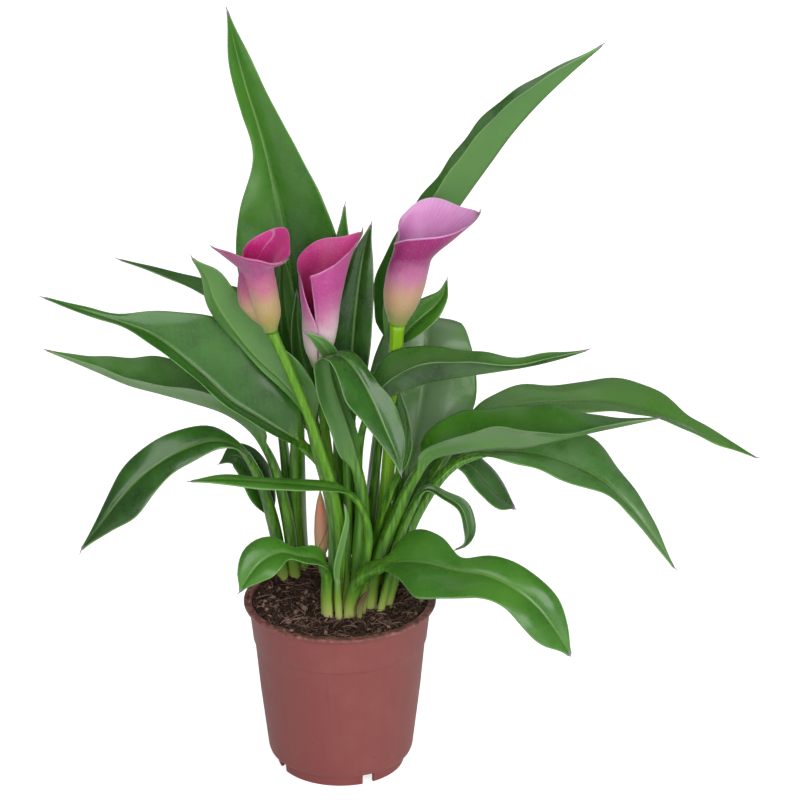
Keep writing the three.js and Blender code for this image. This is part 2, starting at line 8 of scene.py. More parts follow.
import bmesh
import bpy
import numpy as np
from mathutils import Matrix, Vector


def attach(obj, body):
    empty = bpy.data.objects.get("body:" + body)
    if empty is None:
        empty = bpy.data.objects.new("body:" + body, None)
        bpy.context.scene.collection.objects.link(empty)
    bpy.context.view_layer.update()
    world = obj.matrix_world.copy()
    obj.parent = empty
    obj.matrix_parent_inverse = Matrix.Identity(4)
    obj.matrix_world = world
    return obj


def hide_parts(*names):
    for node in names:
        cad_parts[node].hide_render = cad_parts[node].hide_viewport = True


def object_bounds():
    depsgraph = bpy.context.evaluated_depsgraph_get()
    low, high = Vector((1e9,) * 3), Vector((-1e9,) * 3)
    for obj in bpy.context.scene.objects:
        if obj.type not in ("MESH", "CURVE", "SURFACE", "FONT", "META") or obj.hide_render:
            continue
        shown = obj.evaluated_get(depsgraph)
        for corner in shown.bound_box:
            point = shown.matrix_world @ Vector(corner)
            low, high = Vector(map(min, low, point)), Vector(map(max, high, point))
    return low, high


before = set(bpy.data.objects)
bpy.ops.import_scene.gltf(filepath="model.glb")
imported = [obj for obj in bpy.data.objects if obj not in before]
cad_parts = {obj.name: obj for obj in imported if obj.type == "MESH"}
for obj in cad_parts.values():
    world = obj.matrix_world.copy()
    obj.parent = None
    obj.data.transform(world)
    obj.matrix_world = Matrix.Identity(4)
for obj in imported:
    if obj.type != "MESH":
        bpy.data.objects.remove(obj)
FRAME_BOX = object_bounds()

bl_info = {
    "name": "Potted calla lily",
    "version": (1, 0, 0),
    "blender": (4, 5, 0),
    "location": "3D View > Sidebar > Calla",
    "description": "Pot, peat, leaves, flowers and bud of a potted calla lily",
    "category": "Object",
}

MM = 0.001

# ---- driving sizes, shared with the frame --------------------------------------------
POT_HEIGHT = 112
RIM_RADIUS = 60
FOOT_RADIUS = 40
FOOT_HEIGHT = 6.5
WALL = 1.2
HUB_RADIUS = 18
STEP_DOWN = 26
SLOT_WIDTH = 7.5
SLOT_RISE = 2
SLOT_ANGLES = (-64, 26, 116, 206)
DRAIN_RADIUS = 4
DRAIN_RING = 28
DRAIN_COUNT = 6
BLADE_THICKNESS = 0.9
TIP_HALF_WIDTH = 0.6

VEIN_SPACING = 4.5  # between two side veins of a leaf
JOIN_GAP = 0.002  # points that lie closer are joined

# Outer wall from the foot to the rim, then the inner wall back down to the floor.
POT_PROFILE = [
    (0, 0), (HUB_RADIUS, 0), (HUB_RADIUS + 1, FOOT_HEIGHT), (FOOT_RADIUS - 2, FOOT_HEIGHT),
    (FOOT_RADIUS - 2, 0), (FOOT_RADIUS, 0), (FOOT_RADIUS + 0.4, FOOT_HEIGHT), (44.6, 8.8),
    (45.6, 11.5), (50.3, 52), (53.4, POT_HEIGHT - STEP_DOWN - 0.6),
    (54.3, POT_HEIGHT - STEP_DOWN), (56.5, 106), (56.9, 108.8), (59.4, 109.2),
    (RIM_RADIUS, 110), (RIM_RADIUS, 111.4), (59.3, POT_HEIGHT), (55.6, POT_HEIGHT),
    (54.9, 111), (55.2, 106), (53.1, POT_HEIGHT - STEP_DOWN),
    (52.2, POT_HEIGHT - STEP_DOWN - 0.6), (49.1, 52), (44.4, 11.8),
    (43.4, FOOT_HEIGHT + WALL + 1.6), (41.6, FOOT_HEIGHT + WALL),
    (HUB_RADIUS - 0.2, FOOT_HEIGHT + WALL), (HUB_RADIUS - 1.2, WALL), (0, WALL),
]

# ---- leaves --------------------------------------------------------------------------
# at      points of the stalk and midrib, from the peat to the tip
# blade   where the blade starts, as a part of the whole length
# half    half-width of the blade at even stations from its start to the tip
# other   the same for the half that lies to the left of the way the leaf grows, if it differs
# roll    turn of the blade about its midrib, in degrees, at even stations
# fold    lift of each half from flat, in degrees, at even stations
# curl    further lift of the margin, in degrees
# wave    (height, half waves, phase) of the margin
# stalk   radius of the stalk at the peat
# thread  way that the dry thread at the tip goes, as long as the thread
# tone_and_shade  from 0, deep blue-green, to 1, fresh yellow-green; low on leaves in shade, as
# painted shade
# painted_sheen  painted sheen, the grey of soft reflected light, from 0 for none to 1 for grey
# back    share of the underside's paler colour, 1 if not given; below 1 it paints the underside's shade
# painted_half_shading  painted light and shade added to the tone of the half and of the other half
LEAVES = {
    "leaf_tall_left": dict(
        at=[(-20, 35, 92), (-26, 35, 155), (-26, 35, 229), (-27, 38, 290), (-34, 42, 344),
            (-42, 43, 382), (-48, 43, 407), (-55, 42, 432), (-61, 40, 458), (-65, 38, 480)],
        blade=0.38, half=[3, 20, 31, 36, 34, 26, 17, 9.5, 1],
        other=[3, 20, 30, 33, 27, 10, 10, 9, 1], roll=[-72, -87, -82, -72],
        fold=[25, 15, 30, 40, 35], curl=5, wave=(1.5, 3, 0), stalk=3.8, thread=(-1, 0, 3.5),
        tone_and_shade=0.62, painted_sheen=0.05,
    ),
    "leaf_tall_right": dict(
        at=[(17, 20.5, 92), (19, 28, 165), (26, 33, 230), (38, 37, 275), (50, 39, 315),
            (63, 40, 342), (77, 41, 363), (91, 42, 383), (105, 42, 403), (121, 42, 422),
            (139, 42, 440), (158, 43, 457)],
        blade=0.4, half=[3, 18, 25, 25, 24, 21, 20, 19, 14, 7, 1], roll=[0, 0, -5, -10],
        fold=[50, 58, 66, 75], curl=0, wave=(1, 3, 1), stalk=3.6, thread=(3, 0, 1.5), tone_and_shade=0.55,
    ),
    "leaf_back_left": dict(
        at=[(-24, 42.5, 92), (-31, 42, 162), (-37, 42, 215), (-47, 44, 262), (-62, 47, 290),
            (-81, 50, 297), (-99, 52, 304), (-118, 53, 311), (-134, 54, 316)],
        blade=0.52, half=[3, 12, 14, 13, 9.5, 4, 1], other=[3, 12, 14, 12, 7, 4, 1], roll=[-5],
        fold=[12], curl=0, wave=(1, 2, 0), stalk=3.2, thread=(-3.5, 0, 2), tone_and_shade=0.35,
    ),
    "leaf_upright_left": dict(
        at=[(-4, -0.5, 92), (-2.5, -5, 168), (-13, -10, 216), (-21, -13, 248), (-33, -15, 265),
            (-50, -13, 281), (-63, -14, 299.5), (-73, -18, 318.5), (-77.5, -22, 334.3),
            (-85, -28, 348)],
        blade=0.5, half=[3, 6, 6, 5, 9, 5, 1], other=[3, 12, 17, 17, 15, 10.5, 1],
        roll=[50, 60, 60], fold=[15, 10, 20], curl=0, wave=(1, 3, 0), stalk=3.2,
        thread=(-1, -0.5, 3), tone_and_shade=0.62,
    ),
    "leaf_broad_left": dict(
        at=[(3, 2, 92), (0, 0.6, 168), (-8, -1, 200), (-25, -3, 219), (-47, -5, 235),
            (-66, -7, 249), (-85, -8, 269), (-113, -7, 292), (-145, -4, 303), (-176, 0, 312)],
        blade=0.4, half=[3, 20, 32, 36, 33, 18, 5.5, 3, 1],
        other=[3, 12, 12, 13, 12, 13, 6, 6, 1], roll=[-40, -42, -40, -25],
        fold=[35, 38, 35, 20], curl=0, wave=(2, 3, 0), stalk=3.4, thread=(-3.5, 0, 1.5),
        tone_and_shade=0.45,
    ),
    "leaf_folded_left": dict(
        at=[(-25.5, 28.5, 92), (-33, 27, 160), (-43, 21, 200), (-55, 17, 220), (-70, 14, 232),
            (-87, 12, 239), (-108, 10, 246), (-128, 9, 252), (-147, 8, 261), (-168, 7, 271),
            (-177, 7, 275)],
        blade=0.42, half=[3, 15, 24, 26, 23, 16, 8, 1], other=[3, 15, 22, 22, 17, 12, 6, 1],
        roll=[0], fold=[38], curl=0, wave=(1.5, 3, 0), stalk=3.3, thread=(-2.5, 0, 1),
        # Painted shade: its seen underside keeps less of the paler colour, so it is darker.
        tone_and_shade=0.75, painted_sheen=0.35, back=0.4,
    ),
    "leaf_drooping_left": dict(
        at=[(-32.5, 31, 92), (-41, 26, 152), (-51, 17, 190), (-61, 8, 210), (-76, 3, 217),
            (-97, -3, 213), (-119, -8, 200), (-134, -12, 185), (-147, -15, 168),
            (-158, -16, 153)],
        blade=0.45, half=[3, 10, 12, 12.5, 13, 10, 4.5, 1], other=[3, 5, 9, 11, 15, 17, 8, 1],
        roll=[-20, -35, -40, -35], fold=[15, 8, 12], curl=-10, wave=(2, 3, 2), stalk=3.3,
        thread=(-1, -0.5, -4), tone_and_shade=0.15,
    ),
    "leaf_blunt_left": dict(
        at=[(-30.5, 38.5, 92), (-45, 37, 156), (-53, 36, 177), (-59, 37, 188), (-66, 38, 192),
            (-75, 39, 186)],
        blade=0.5, half=[3, 11, 15, 14, 9, 1], roll=[-30], fold=[12], curl=-10, wave=(1, 2, 0),
        stalk=3, thread=(-1.5, 0, -1), tone_and_shade=0.22,
    ),
    "leaf_level_front": dict(
        at=[(13, -10.5, 92), (17, -12, 141), (19, -14, 161), (15, -17, 180), (7, -22, 193),
            (-11, -27, 200), (-41, -32, 205), (-68, -37, 209), (-88, -42, 210)],
        blade=0.5, half=[2.4, 7, 8, 7, 5, 1], roll=[-10], fold=[15, 5, 15], curl=-20,
        wave=(1, 2, 0), stalk=2.4, thread=(-3, -0.5, 0), tone_and_shade=0.8,
    ),
    "leaf_low_front": dict(
        at=[(-6, -15.5, 92), (-7, -15, 120), (-7, -16, 136), (-13, -21, 148), (-24, -27, 153),
            (-36, -32, 158), (-47, -36, 154), (-55, -39, 145), (-60, -41, 136)],
        blade=0.38, half=[3, 9, 8, 6, 12, 13, 8, 1], other=[3, 9, 8, 5, 11, 13, 8, 1],
        roll=[-25, -35, -35], fold=[15, 8, 15], curl=0, wave=(1, 2, 0), stalk=3.7,
        thread=(-2.5, -1, -0.5), tone_and_shade=0.85,
    ),
    "leaf_arched_centre": dict(
        at=[(9, -4.5, 92), (13, -7, 155), (14, -9, 183), (10, -11, 210), (5, -13, 231),
            (-1, -16, 252), (-5, -18, 270), (-5, -21, 282), (2, -25, 285), (11, -29, 277),
            (21, -32, 259), (29, -34, 240), (35, -36, 225), (38, -37, 213)],
        blade=0.38, half=[3, 10, 10.5, 12, 11.5, 14, 20, 13, 6.5, 1],
        other=[3, 8, 8, 8, 8, 8, 8, 11.5, 9, 1], roll=[0, 0, 5, 10], fold=[5, 5, 8, 8], curl=0,
        wave=(1, 3, 0), stalk=3.4, thread=(0.5, -0.5, -2.5), tone_and_shade=0.4,
    ),
    "leaf_tip_centre": dict(
        at=[(2.2, -7.5, 92), (5, -3, 165), (5, -5, 212), (4, -5, 243), (2, -8, 264),
            (-4, -13, 280), (-11, -18, 291), (-19, -20, 298)],
        blade=0.78, half=[2, 4, 5, 4, 1], roll=[66], fold=[10], curl=0, wave=(0, 2, 0),
        stalk=2.2, thread=(-1.5, -0.5, 1), tone_and_shade=0.6,
    ),
    "leaf_dark_upright": dict(
        at=[(10, 20.5, 92), (9.5, 18, 157), (8, 15, 206), (7, 14, 240), (8, 14, 267),
            (10, 14, 293), (13, 15, 319), (16, 17, 337), (20, 19, 352)],
        blade=0.5, half=[3, 9, 12, 12.5, 11, 7.5, 1], roll=[88], fold=[18], curl=0,
        wave=(0.5, 2, 0), stalk=2.8, thread=(0.5, 0.5, 2.5), tone_and_shade=0.1,
    ),
    "leaf_small_curled": dict(
        at=[(9.5, 11.5, 92), (19, 17, 165), (28, 20, 236), (35, 21, 270), (42, 22, 282),
            (50, 23, 290), (58, 24, 297), (64, 24, 305), (66, 24, 314)],
        blade=0.78, half=[2, 8, 10, 9, 5, 1], roll=[50], fold=[20], curl=10, wave=(0, 2, 0),
        stalk=2.4, thread=(0.5, 0, 2.5), tone_and_shade=0.6,
    ),
    "leaf_broad_back": dict(
        at=[(24.5, 21, 92), (33, 29, 138), (42, 34, 184), (47, 38, 209), (51, 43, 231),
            (53, 48, 252), (54, 54, 269), (55, 64, 275), (56, 80, 268)],
        blade=0.42, half=[3, 15, 27, 34, 33, 28, 18, 1], roll=[24], fold=[10], curl=0,
        wave=(1, 2, 0), stalk=3.4, thread=(0, 2, -1), tone_and_shade=0.85, painted_sheen=0.8,
    ),
    "leaf_level_right": dict(
        at=[(10, 4, 92), (12, 4, 136), (11, 3, 178), (12, 0, 212), (17, -8, 238),
            (28, -16.4, 254), (50, -21.3, 266), (71, -21, 270), (95, -21, 273.5),
            (116, -21, 277), (134, -22, 282), (149, -22, 287)],
        blade=0.5, half=[3, 8, 15, 13, 8, 3, 4, 1], other=[3, 23, 27, 22, 15.7, 7, 6, 1],
        roll=[-12], fold=[50, 52, 50, 40], curl=0, wave=(1, 3, 0), stalk=2.8, thread=(3, 0, 1),
        # Painted shade: the near half, whose underside lies in shade, is painted darker and shows
        # no paler underside; the far half is painted a little lighter.
        tone_and_shade=0.6, painted_sheen=0.15, back=0.0, painted_half_shading=(-0.45, 0.1),
    ),
    "leaf_long_right": dict(
        at=[(23.5, 4.5, 92), (33, 8, 131), (48, 12, 172), (72, 19, 210), (88, 25, 223),
            (107, 29, 229), (130, 31, 231), (158, 32, 231), (180, 32, 228), (202, 30, 222),
            (224, 28, 212), (243, 27, 203), (258, 26, 196)],
        blade=0.4, half=[3, 13, 20, 22, 24, 24, 18, 10, 1],
        other=[3, 11, 17.5, 18.5, 26, 24, 12, 7.5, 1], roll=[5], fold=[12], curl=0,
        wave=(1.5, 3, 0), stalk=3.8, thread=(3.5, 0, 0.5), tone_and_shade=0.95, painted_sheen=0.15,
    ),
    "leaf_twisted_right": dict(
        at=[(17, -4, 92), (20, -5, 131), (32, -6, 165), (45, -7, 196), (56, -10, 212),
            (77, -14, 219), (98, -17, 222), (116, -20, 224), (134, -22, 229), (152, -23, 234),
            (173, -24, 239), (193, -25, 244)],
        blade=0.42, half=[3, 18, 27, 29, 24, 15, 8, 1], roll=[0], fold=[40, 45, 35, 30], curl=0,
        wave=(3, 4, 0), stalk=4, thread=(2, 0, 0), tone_and_shade=0.55,
    ),
    "leaf_drooping_right": dict(
        at=[(24.5, -4, 92), (33, -3, 131), (46, 0, 169), (71, 5, 201), (93, 6, 208),
            (121, 6, 207), (143, 4, 201), (163, 2, 190), (179, 0, 174), (193, -2, 156),
            (207, -4, 135)],
        blade=0.46, half=[3, 12, 15, 18.5, 10.5, 7, 4.5, 1],
        other=[3, 12, 20, 27, 18.5, 13, 6, 1], roll=[10, 25, 25], fold=[12], curl=-10,
        wave=(1.5, 3, 0), stalk=3.6, thread=(3.5, 0, -1.5), tone_and_shade=0.75, painted_sheen=0.42,
    ),
    "leaf_blunt_right": dict(
        at=[(25, 13, 92), (33, 17, 138), (44, 21, 168), (55, 23.6, 187), (67, 23, 193.2),
            (80, 27, 190), (89, 29, 180), (99, 31, 168), (109, 33, 158)],
        blade=0.5, half=[3, 6, 3, 4, 10, 14, 15, 12, 2], other=[3, 7, 7, 8, 13, 15, 15, 12, 2],
        roll=[30], fold=[10], curl=-10, wave=(1, 2, 0), stalk=3, thread=(1.5, 0, -1.5),
        tone_and_shade=0.4, painted_sheen=0.15,
    ),
    "leaf_hooked_right": dict(
        at=[(21.5, -10.5, 92), (30, -11, 131), (41, -12, 170), (54, -13, 192), (65, -14, 187),
            (74, -15, 181), (77.5, -16, 173), (79, -18, 164), (76.5, -20, 157.5),
            (72, -21, 155)],
        blade=0.6, half=[2, 3.5, 4, 5, 8, 1], other=[2, 3, 4, 6, 5, 1], roll=[30], fold=[25],
        curl=0, wave=(0, 2, 0), stalk=2.2, thread=(-2, 0, 0), tone_and_shade=0.3,
    ),
    "leaf_low_right": dict(
        at=[(5, -14.5, 92), (7, -17, 121), (14, -23, 139), (24, -28, 147), (38, -35, 153),
            (53, -42, 156), (71, -50, 155), (89, -55, 154), (105, -59, 148), (121, -61, 135),
            (134, -61, 116), (141, -61, 103)],
        blade=0.3, half=[6, 14, 27, 21.5, 17.5, 15.5, 18, 14, 2],
        other=[6, 21, 18.5, 8.5, 14.3, 15, 14, 9.5, 1.5], roll=[20, 35, 35, 30],
        fold=[12, 5, 10], curl=0, wave=(1.5, 3, 0), stalk=3.9, thread=(0.5, 0, -2), tone_and_shade=0.62,
    ),
    "leaf_young_centre": dict(
        at=[(16.5, 3.5, 92), (21, 2, 150), (32, 0, 185), (41, -2, 210), (42, -4, 231),
            (37, -6, 255)],
        blade=0.62, half=[2, 8, 10, 8, 1], roll=[60], fold=[20], curl=0, wave=(0, 2, 0),
        stalk=2.4, thread=(-0.5, 0, 2), tone_and_shade=0.7,
    ),
    "leaf_between_flowers": dict(
        at=[(-2, 16, 92), (-1, 18.5, 150), (-12, 20, 202), (-24, 19, 238), (-28, 19, 270),
            (-32, 20, 296), (-33, 21, 316), (-34, 22, 335)],
        blade=0.5, half=[3, 9, 12, 10, 6, 1], roll=[-82], fold=[15], curl=0, wave=(0.5, 2, 0),
        stalk=2.6, thread=(0.5, 0, 2), tone_and_shade=0.45,
    ),
    "leaf_behind_flower": dict(
        at=[(3.5, 20.5, 92), (1.5, 24, 150), (-1, 23, 208), (-1, 24, 256), (0, 24, 295),
            (2, 25, 331), (4, 26, 361)],
        blade=0.5, half=[3, 10, 13, 11, 6, 1], roll=[8], fold=[18], curl=0, wave=(0.5, 2, 0),
        stalk=2.6, thread=(1, 0, 3), tone_and_shade=0.5,
    ),
    "leaf_shaded_centre": dict(
        at=[(-3.5, 9, 92), (-2.5, 13, 150), (-10, 12, 200), (-17, 9, 240), (-22, 8, 269),
            (-25, 9, 295), (-25, 10, 312)],
        blade=0.6, half=[2, 6, 7, 5, 1], roll=[-70], fold=[15], curl=0, wave=(0, 2, 0),
        stalk=2.4, thread=(0, 0, 2), tone_and_shade=0.3,
    ),
    "leaf_young_front": dict(
        at=[(-0.2, -19, 92), (-1, -18, 136), (3, -19, 156), (6, -20, 174), (4, -21, 184)],
        blade=0.4, half=[2, 4, 4, 3, 0.8], roll=[0], fold=[40], curl=0, wave=(0, 2, 0),
        stalk=2.2, thread=(-1, -0.5, 1.5), tone_and_shade=0.7,
    ),
    "sheath_front": dict(
        at=[(12, -19.5, 92), (12.2, -19.8, 107), (14.2, -20.2, 117), (18.4, -20.5, 127)],
        blade=0.42, half=[2, 4, 3, 0.8], roll=[0], fold=[40], curl=0, wave=(0, 2, 0), stalk=2,
        thread=(1, -0.5, 1.5), tone_and_shade=0.5,
    ),
}

# ---- flowers -------------------------------------------------------------------------
# stem    points from the peat to the base of the flower, and its radius
# axis    direction of the funnel
# tip     direction in which the drawn-out tip of the sheet lies
# radii   of the funnel at even stations from the throat to the mouth
# wrap    turn of each half of the sheet away from the tip: (throat, mouth) in degrees
# rim     height of the rim at even stations from one margin through the tip to the other
# flare   how far the rim turns outwards at the same stations
# lap     +1 or -1: which margin lies outside
# dip     how far the tip hangs below the rim beside it
# bulge   how far the sheet swells beside the margin that lies inside
# thread  way that the dry thread at the tip goes
FLOWERS = {
    "left": dict(
        stem=[(-4, -7.8, 92), (1, -10, 142), (-2, -14, 185), (-10, -17, 216), (-19, -20, 247),
              (-31, -23, 280), (-39, -24, 300)],
        radius=3, axis=(-0.17, -0.05, 1), tip=(0.65, -0.75, 0),
        radii=[3.4, 7.2, 8.1, 8.4, 8.6, 10, 13], wrap=((100, 131), (288, 215)),
        rim=[62, 62, 58, 60, 61, 54, 46], flare=[11, 7, 7, 8, 8, 3, -3], lap=-1,
        dip=11, bulge=9, thread=(0.5, -1, -2.5),
    ),
    "middle": dict(
        stem=[(3, 9, 92), (0.5, 7.5, 155), (-5.5, 5, 200), (-10, 1, 240), (-12, -2, 268)],
        radius=2.8, axis=(0.06, -0.05, 1), tip=(0.85, 0.5, 0),
        radii=[3.4, 8, 10, 10.6, 12, 13, 14], wrap=((140, 150), (235, 175)),
        rim=[66, 74, 80, 80, 77, 70, 62], flare=[2, 2, 1, 4, 3, 1, 0], lap=1,
        dip=0, bulge=0, thread=(-0.5, 0, 4),
    ),
    "right": dict(
        stem=[(17, 11.5, 92), (27, 12, 160), (32, 11, 221), (34, 9, 255), (36, 6, 293)],
        radius=4.2, axis=(0.18, -0.05, 1), tip=(1, 0.15, 0),
        radii=[4.8, 8.8, 11, 11.5, 11.7, 12.3, 13], wrap=((200, 165), (200, 175)),
        rim=[54, 63, 69, 73, 76, 66, 60], flare=[-2, 3, 9, 16, 10, 1, -3], lap=-1,
        dip=0, bulge=0, thread=(0, 0, 4),
    ),
}
# Radius at which the sheet's turn is read as millimetres, for its length veins.
MIDDLE_RADIUS = 11
SPADIX_PROFILE = [(0, 1.2), (2, 1.2), (3.1, 6), (3.3, 22), (2.4, 33), (0, 36)]

BUD_STEM = [(-11.5, 30, 92), (-11.5, 30, 110), (-11.5, 30, 127)]
BUD_STEM_RADIUS = 2.4
BUD_AXIS = (-0.02, -0.02, 1)
BUD_PROFILE = [(0, 0.4), (2.4, 0.4), (4.7, 6), (4.7, 16), (4, 27), (2.4, 37), (0, 46)]

# ---- peat and studio -----------------------------------------------------------------
# The peat's top as radius and height, how far out the bed, its crumbs and its fibres reach,
# the middle of the pot's rim, where a few crumbs lie, and the height of the bed's underside.
PEAT_TOP = [(0, 107), (40, 106.5), (54.6, 105.5)]
PEAT_RADIUS = 54.4
CRUMB_RADIUS = 54
FIBRE_RADIUS = 53
RIM_MIDDLE = 57.3
PEAT_SKIRT = 96
PAPER_REACH = 9000

# The camera's distance and the point that it looks at, in metres, its tilt in degrees, and its
# lens and the sensor behind it.
CAMERA_DISTANCE = 2.2
CAMERA_AIM = (0.0375, 0, 0.2456)
CAMERA_TILT = 23
CAMERA_LENS = 162.4
CAMERA_SENSOR = 36


# ---- small helpers -------------------------------------------------------------------
def smooth(x):
    """0 below 0 and 1 above 1, eased between them."""
    c = np.clip(x, 0, 1)
    return c * c * (3 - 2 * c)


def along(values, t):
    """A list of values at even stations, read at t between 0 and 1 along a smooth curve."""
    v = np.asarray(values, float)
    t = np.asarray(t, float)
    if len(v) == 1:
        return np.full(t.shape, v[0])
    last = len(v) - 1
    place = np.clip(t * last, 0, last - 1e-6)
    k = np.floor(place).astype(int)
    f = place - k
    p0, p1 = v[np.maximum(k - 1, 0)], v[k]
    p2, p3 = v[k + 1], v[np.minimum(k + 2, last)]
    m1, m2 = (p2 - p0) / 2, (p3 - p1) / 2
    return p1 + f * (m1 + f * (3 * (p2 - p1) - 2 * m1 - m2 + f * (2 * (p1 - p2) + m1 + m2)))


def unit(v):
    """The same directions, one long."""
    v = np.asarray(v, float)
    return v / np.maximum(np.linalg.norm(v, axis=-1, keepdims=True), 1e-12)


class Spine:
    """A smooth line through points, read by its share of the length."""

    def __init__(self, points):
        p = np.asarray(points, float)
        self.points = np.vstack([2 * p[0] - p[1], p, 2 * p[-1] - p[-2]])
        self.spans = len(p) - 1
        self.fine = np.linspace(0, self.spans, self.spans * 60 + 1)
        steps = np.linalg.norm(np.diff(self.place(self.fine), axis=0), axis=1)
        self.run = np.concatenate([[0], np.cumsum(steps)])
        self.length = self.run[-1]

    def place(self, s):
        """Points at s, which counts the spans between the given points."""
        s = np.clip(s, 0, self.spans)
        k = np.minimum(np.floor(s).astype(int), self.spans - 1)
        f = (s - k)[:, None]
        p0, p1, p2, p3 = (self.points[k + i] for i in range(4))
        d0, d1, d2 = (np.sqrt(np.linalg.norm(b - a, axis=1))[:, None]
                      for a, b in ((p0, p1), (p1, p2), (p2, p3)))
        m1 = ((p1 - p0) / d0 - (p2 - p0) / (d0 + d1) + (p2 - p1) / d1) * d1
        m2 = ((p2 - p1) / d1 - (p3 - p1) / (d1 + d2) + (p3 - p2) / d2) * d1
        return p1 + f * (m1 + f * (
            3 * (p2 - p1) - 2 * m1 - m2 + f * (2 * (p1 - p2) + m1 + m2)))

    def at(self, u):
        """Points at a share of the length."""
        return self.place(np.interp(np.asarray(u) * self.length, self.run, self.fine))

    def way(self, u):
        """Direction of the line at a share of the length."""
        u = np.asarray(u, float)
        return unit(self.at(np.minimum(u + 1e-3, 1)) - self.at(np.maximum(u - 1e-3, 0)))


def mesh_piece(name, points, faces, marks=None):
    """A mesh object from points in millimetres, with one float attribute per mark."""
    mesh = bpy.data.meshes.new(name)
    mesh.from_pydata((np.asarray(points, float) * MM).tolist(), [], faces)
    for key, values in (marks or {}).items():
        data = mesh.attributes.new(key, "FLOAT", "POINT")
        data.data.foreach_set("value", np.asarray(values, np.float32).ravel())
    mesh.validate()
    mesh.update()
    mesh.polygons.foreach_set("use_smooth", [True] * len(mesh.polygons))
    made = bpy.data.objects.new(name, mesh)
    bpy.context.scene.collection.objects.link(made)
    return made


def ring_faces(rows, count, closed_ends=True):
    """Faces between rows of points that each close on themselves."""
    faces = []
    for i in range(rows - 1):
        for j in range(count):
            k = (j + 1) % count
            a = i * count
            faces.append((a + j, a + k, a + count + k, a + count + j))
    if closed_ends:
        faces.append(tuple(reversed(range(count))))
        faces.append(tuple((rows - 1) * count + j for j in range(count)))
    return faces


def clean(piece):
    """Joins points that fell together and turns every face outwards."""
    work = bmesh.new()
    work.from_mesh(piece.data)
    bmesh.ops.remove_doubles(work, verts=work.verts, dist=JOIN_GAP * MM)
    bmesh.ops.dissolve_degenerate(work, edges=work.edges, dist=JOIN_GAP * MM / 2)
    bmesh.ops.recalc_face_normals(work, faces=work.faces)
    work.to_mesh(piece.data)
    work.free()
    piece.data.polygons.foreach_set("use_smooth", [True] * len(piece.data.polygons))
    return piece


def finish_piece(piece, node, material):
    """Gives the piece its finish, hides the frame's node, if any, that it stands in for, and hangs
    it under the root body.
    """
    piece.data.materials.clear()
    piece.data.materials.append(material)
    if node:
        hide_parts(node)
    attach(piece, "root")
    return piece


def joined(parts):
    """Points, faces and marks of several shells as one."""
    points, faces, marks, start = [], [], {}, 0
    for p, f, m in parts:
        points.append(p)
        faces += [tuple(start + i for i in face) for face in f]
        for key, values in m.items():
            marks.setdefault(key, []).append(np.asarray(values, float).ravel())
        start += len(p)
    return np.vstack(points), faces, {k: np.concatenate(v) for k, v in marks.items()}


# ---- colours and materials -----------------------------------------------------------
EASED = {"interpolation_type": "SMOOTHSTEP"}
COLOURS = {"data_type": "RGBA"}


def linear(code):
    """An sRGB hex colour as linear numbers."""
    parts = [int(code[i:i + 2], 16) / 255 for i in (0, 2, 4)]
    return tuple(c / 12.92 if c <= 0.04045 else ((c + 0.055) / 1.055) ** 2.4 for c in parts)


def add_node(tree, kind, inputs=(), out=0, stops=(), **settings):
    """Adds a shader node with its own settings and the stops of its ramp, fills or links its
    inputs, by their order or by name, and gives back the output that is wanted."""
    made = tree.nodes.new("ShaderNode" + kind)
    for key, value in settings.items():
        setattr(made, key, value)
    if stops:
        ramp = made.color_ramp.elements
        while len(ramp) < len(stops):
            ramp.new(0.5)
        for stop, (place, colour) in zip(ramp, stops):
            stop.position, stop.color = place, (*colour, 1)
    for key, value in inputs.items() if isinstance(inputs, dict) else enumerate(inputs):
        if isinstance(value, bpy.types.NodeSocket):
            tree.links.new(value, made.inputs[key])
        elif made.inputs[key].type == "RGBA":
            made.inputs[key].default_value = (*value, 1)
        else:
            made.inputs[key].default_value = value
    return made.outputs[out] if len(made.outputs) else made


def new_material(name):
    made = bpy.data.materials.new(name)
    made.use_nodes = True
    made.node_tree.nodes.clear()
    return made, made.node_tree


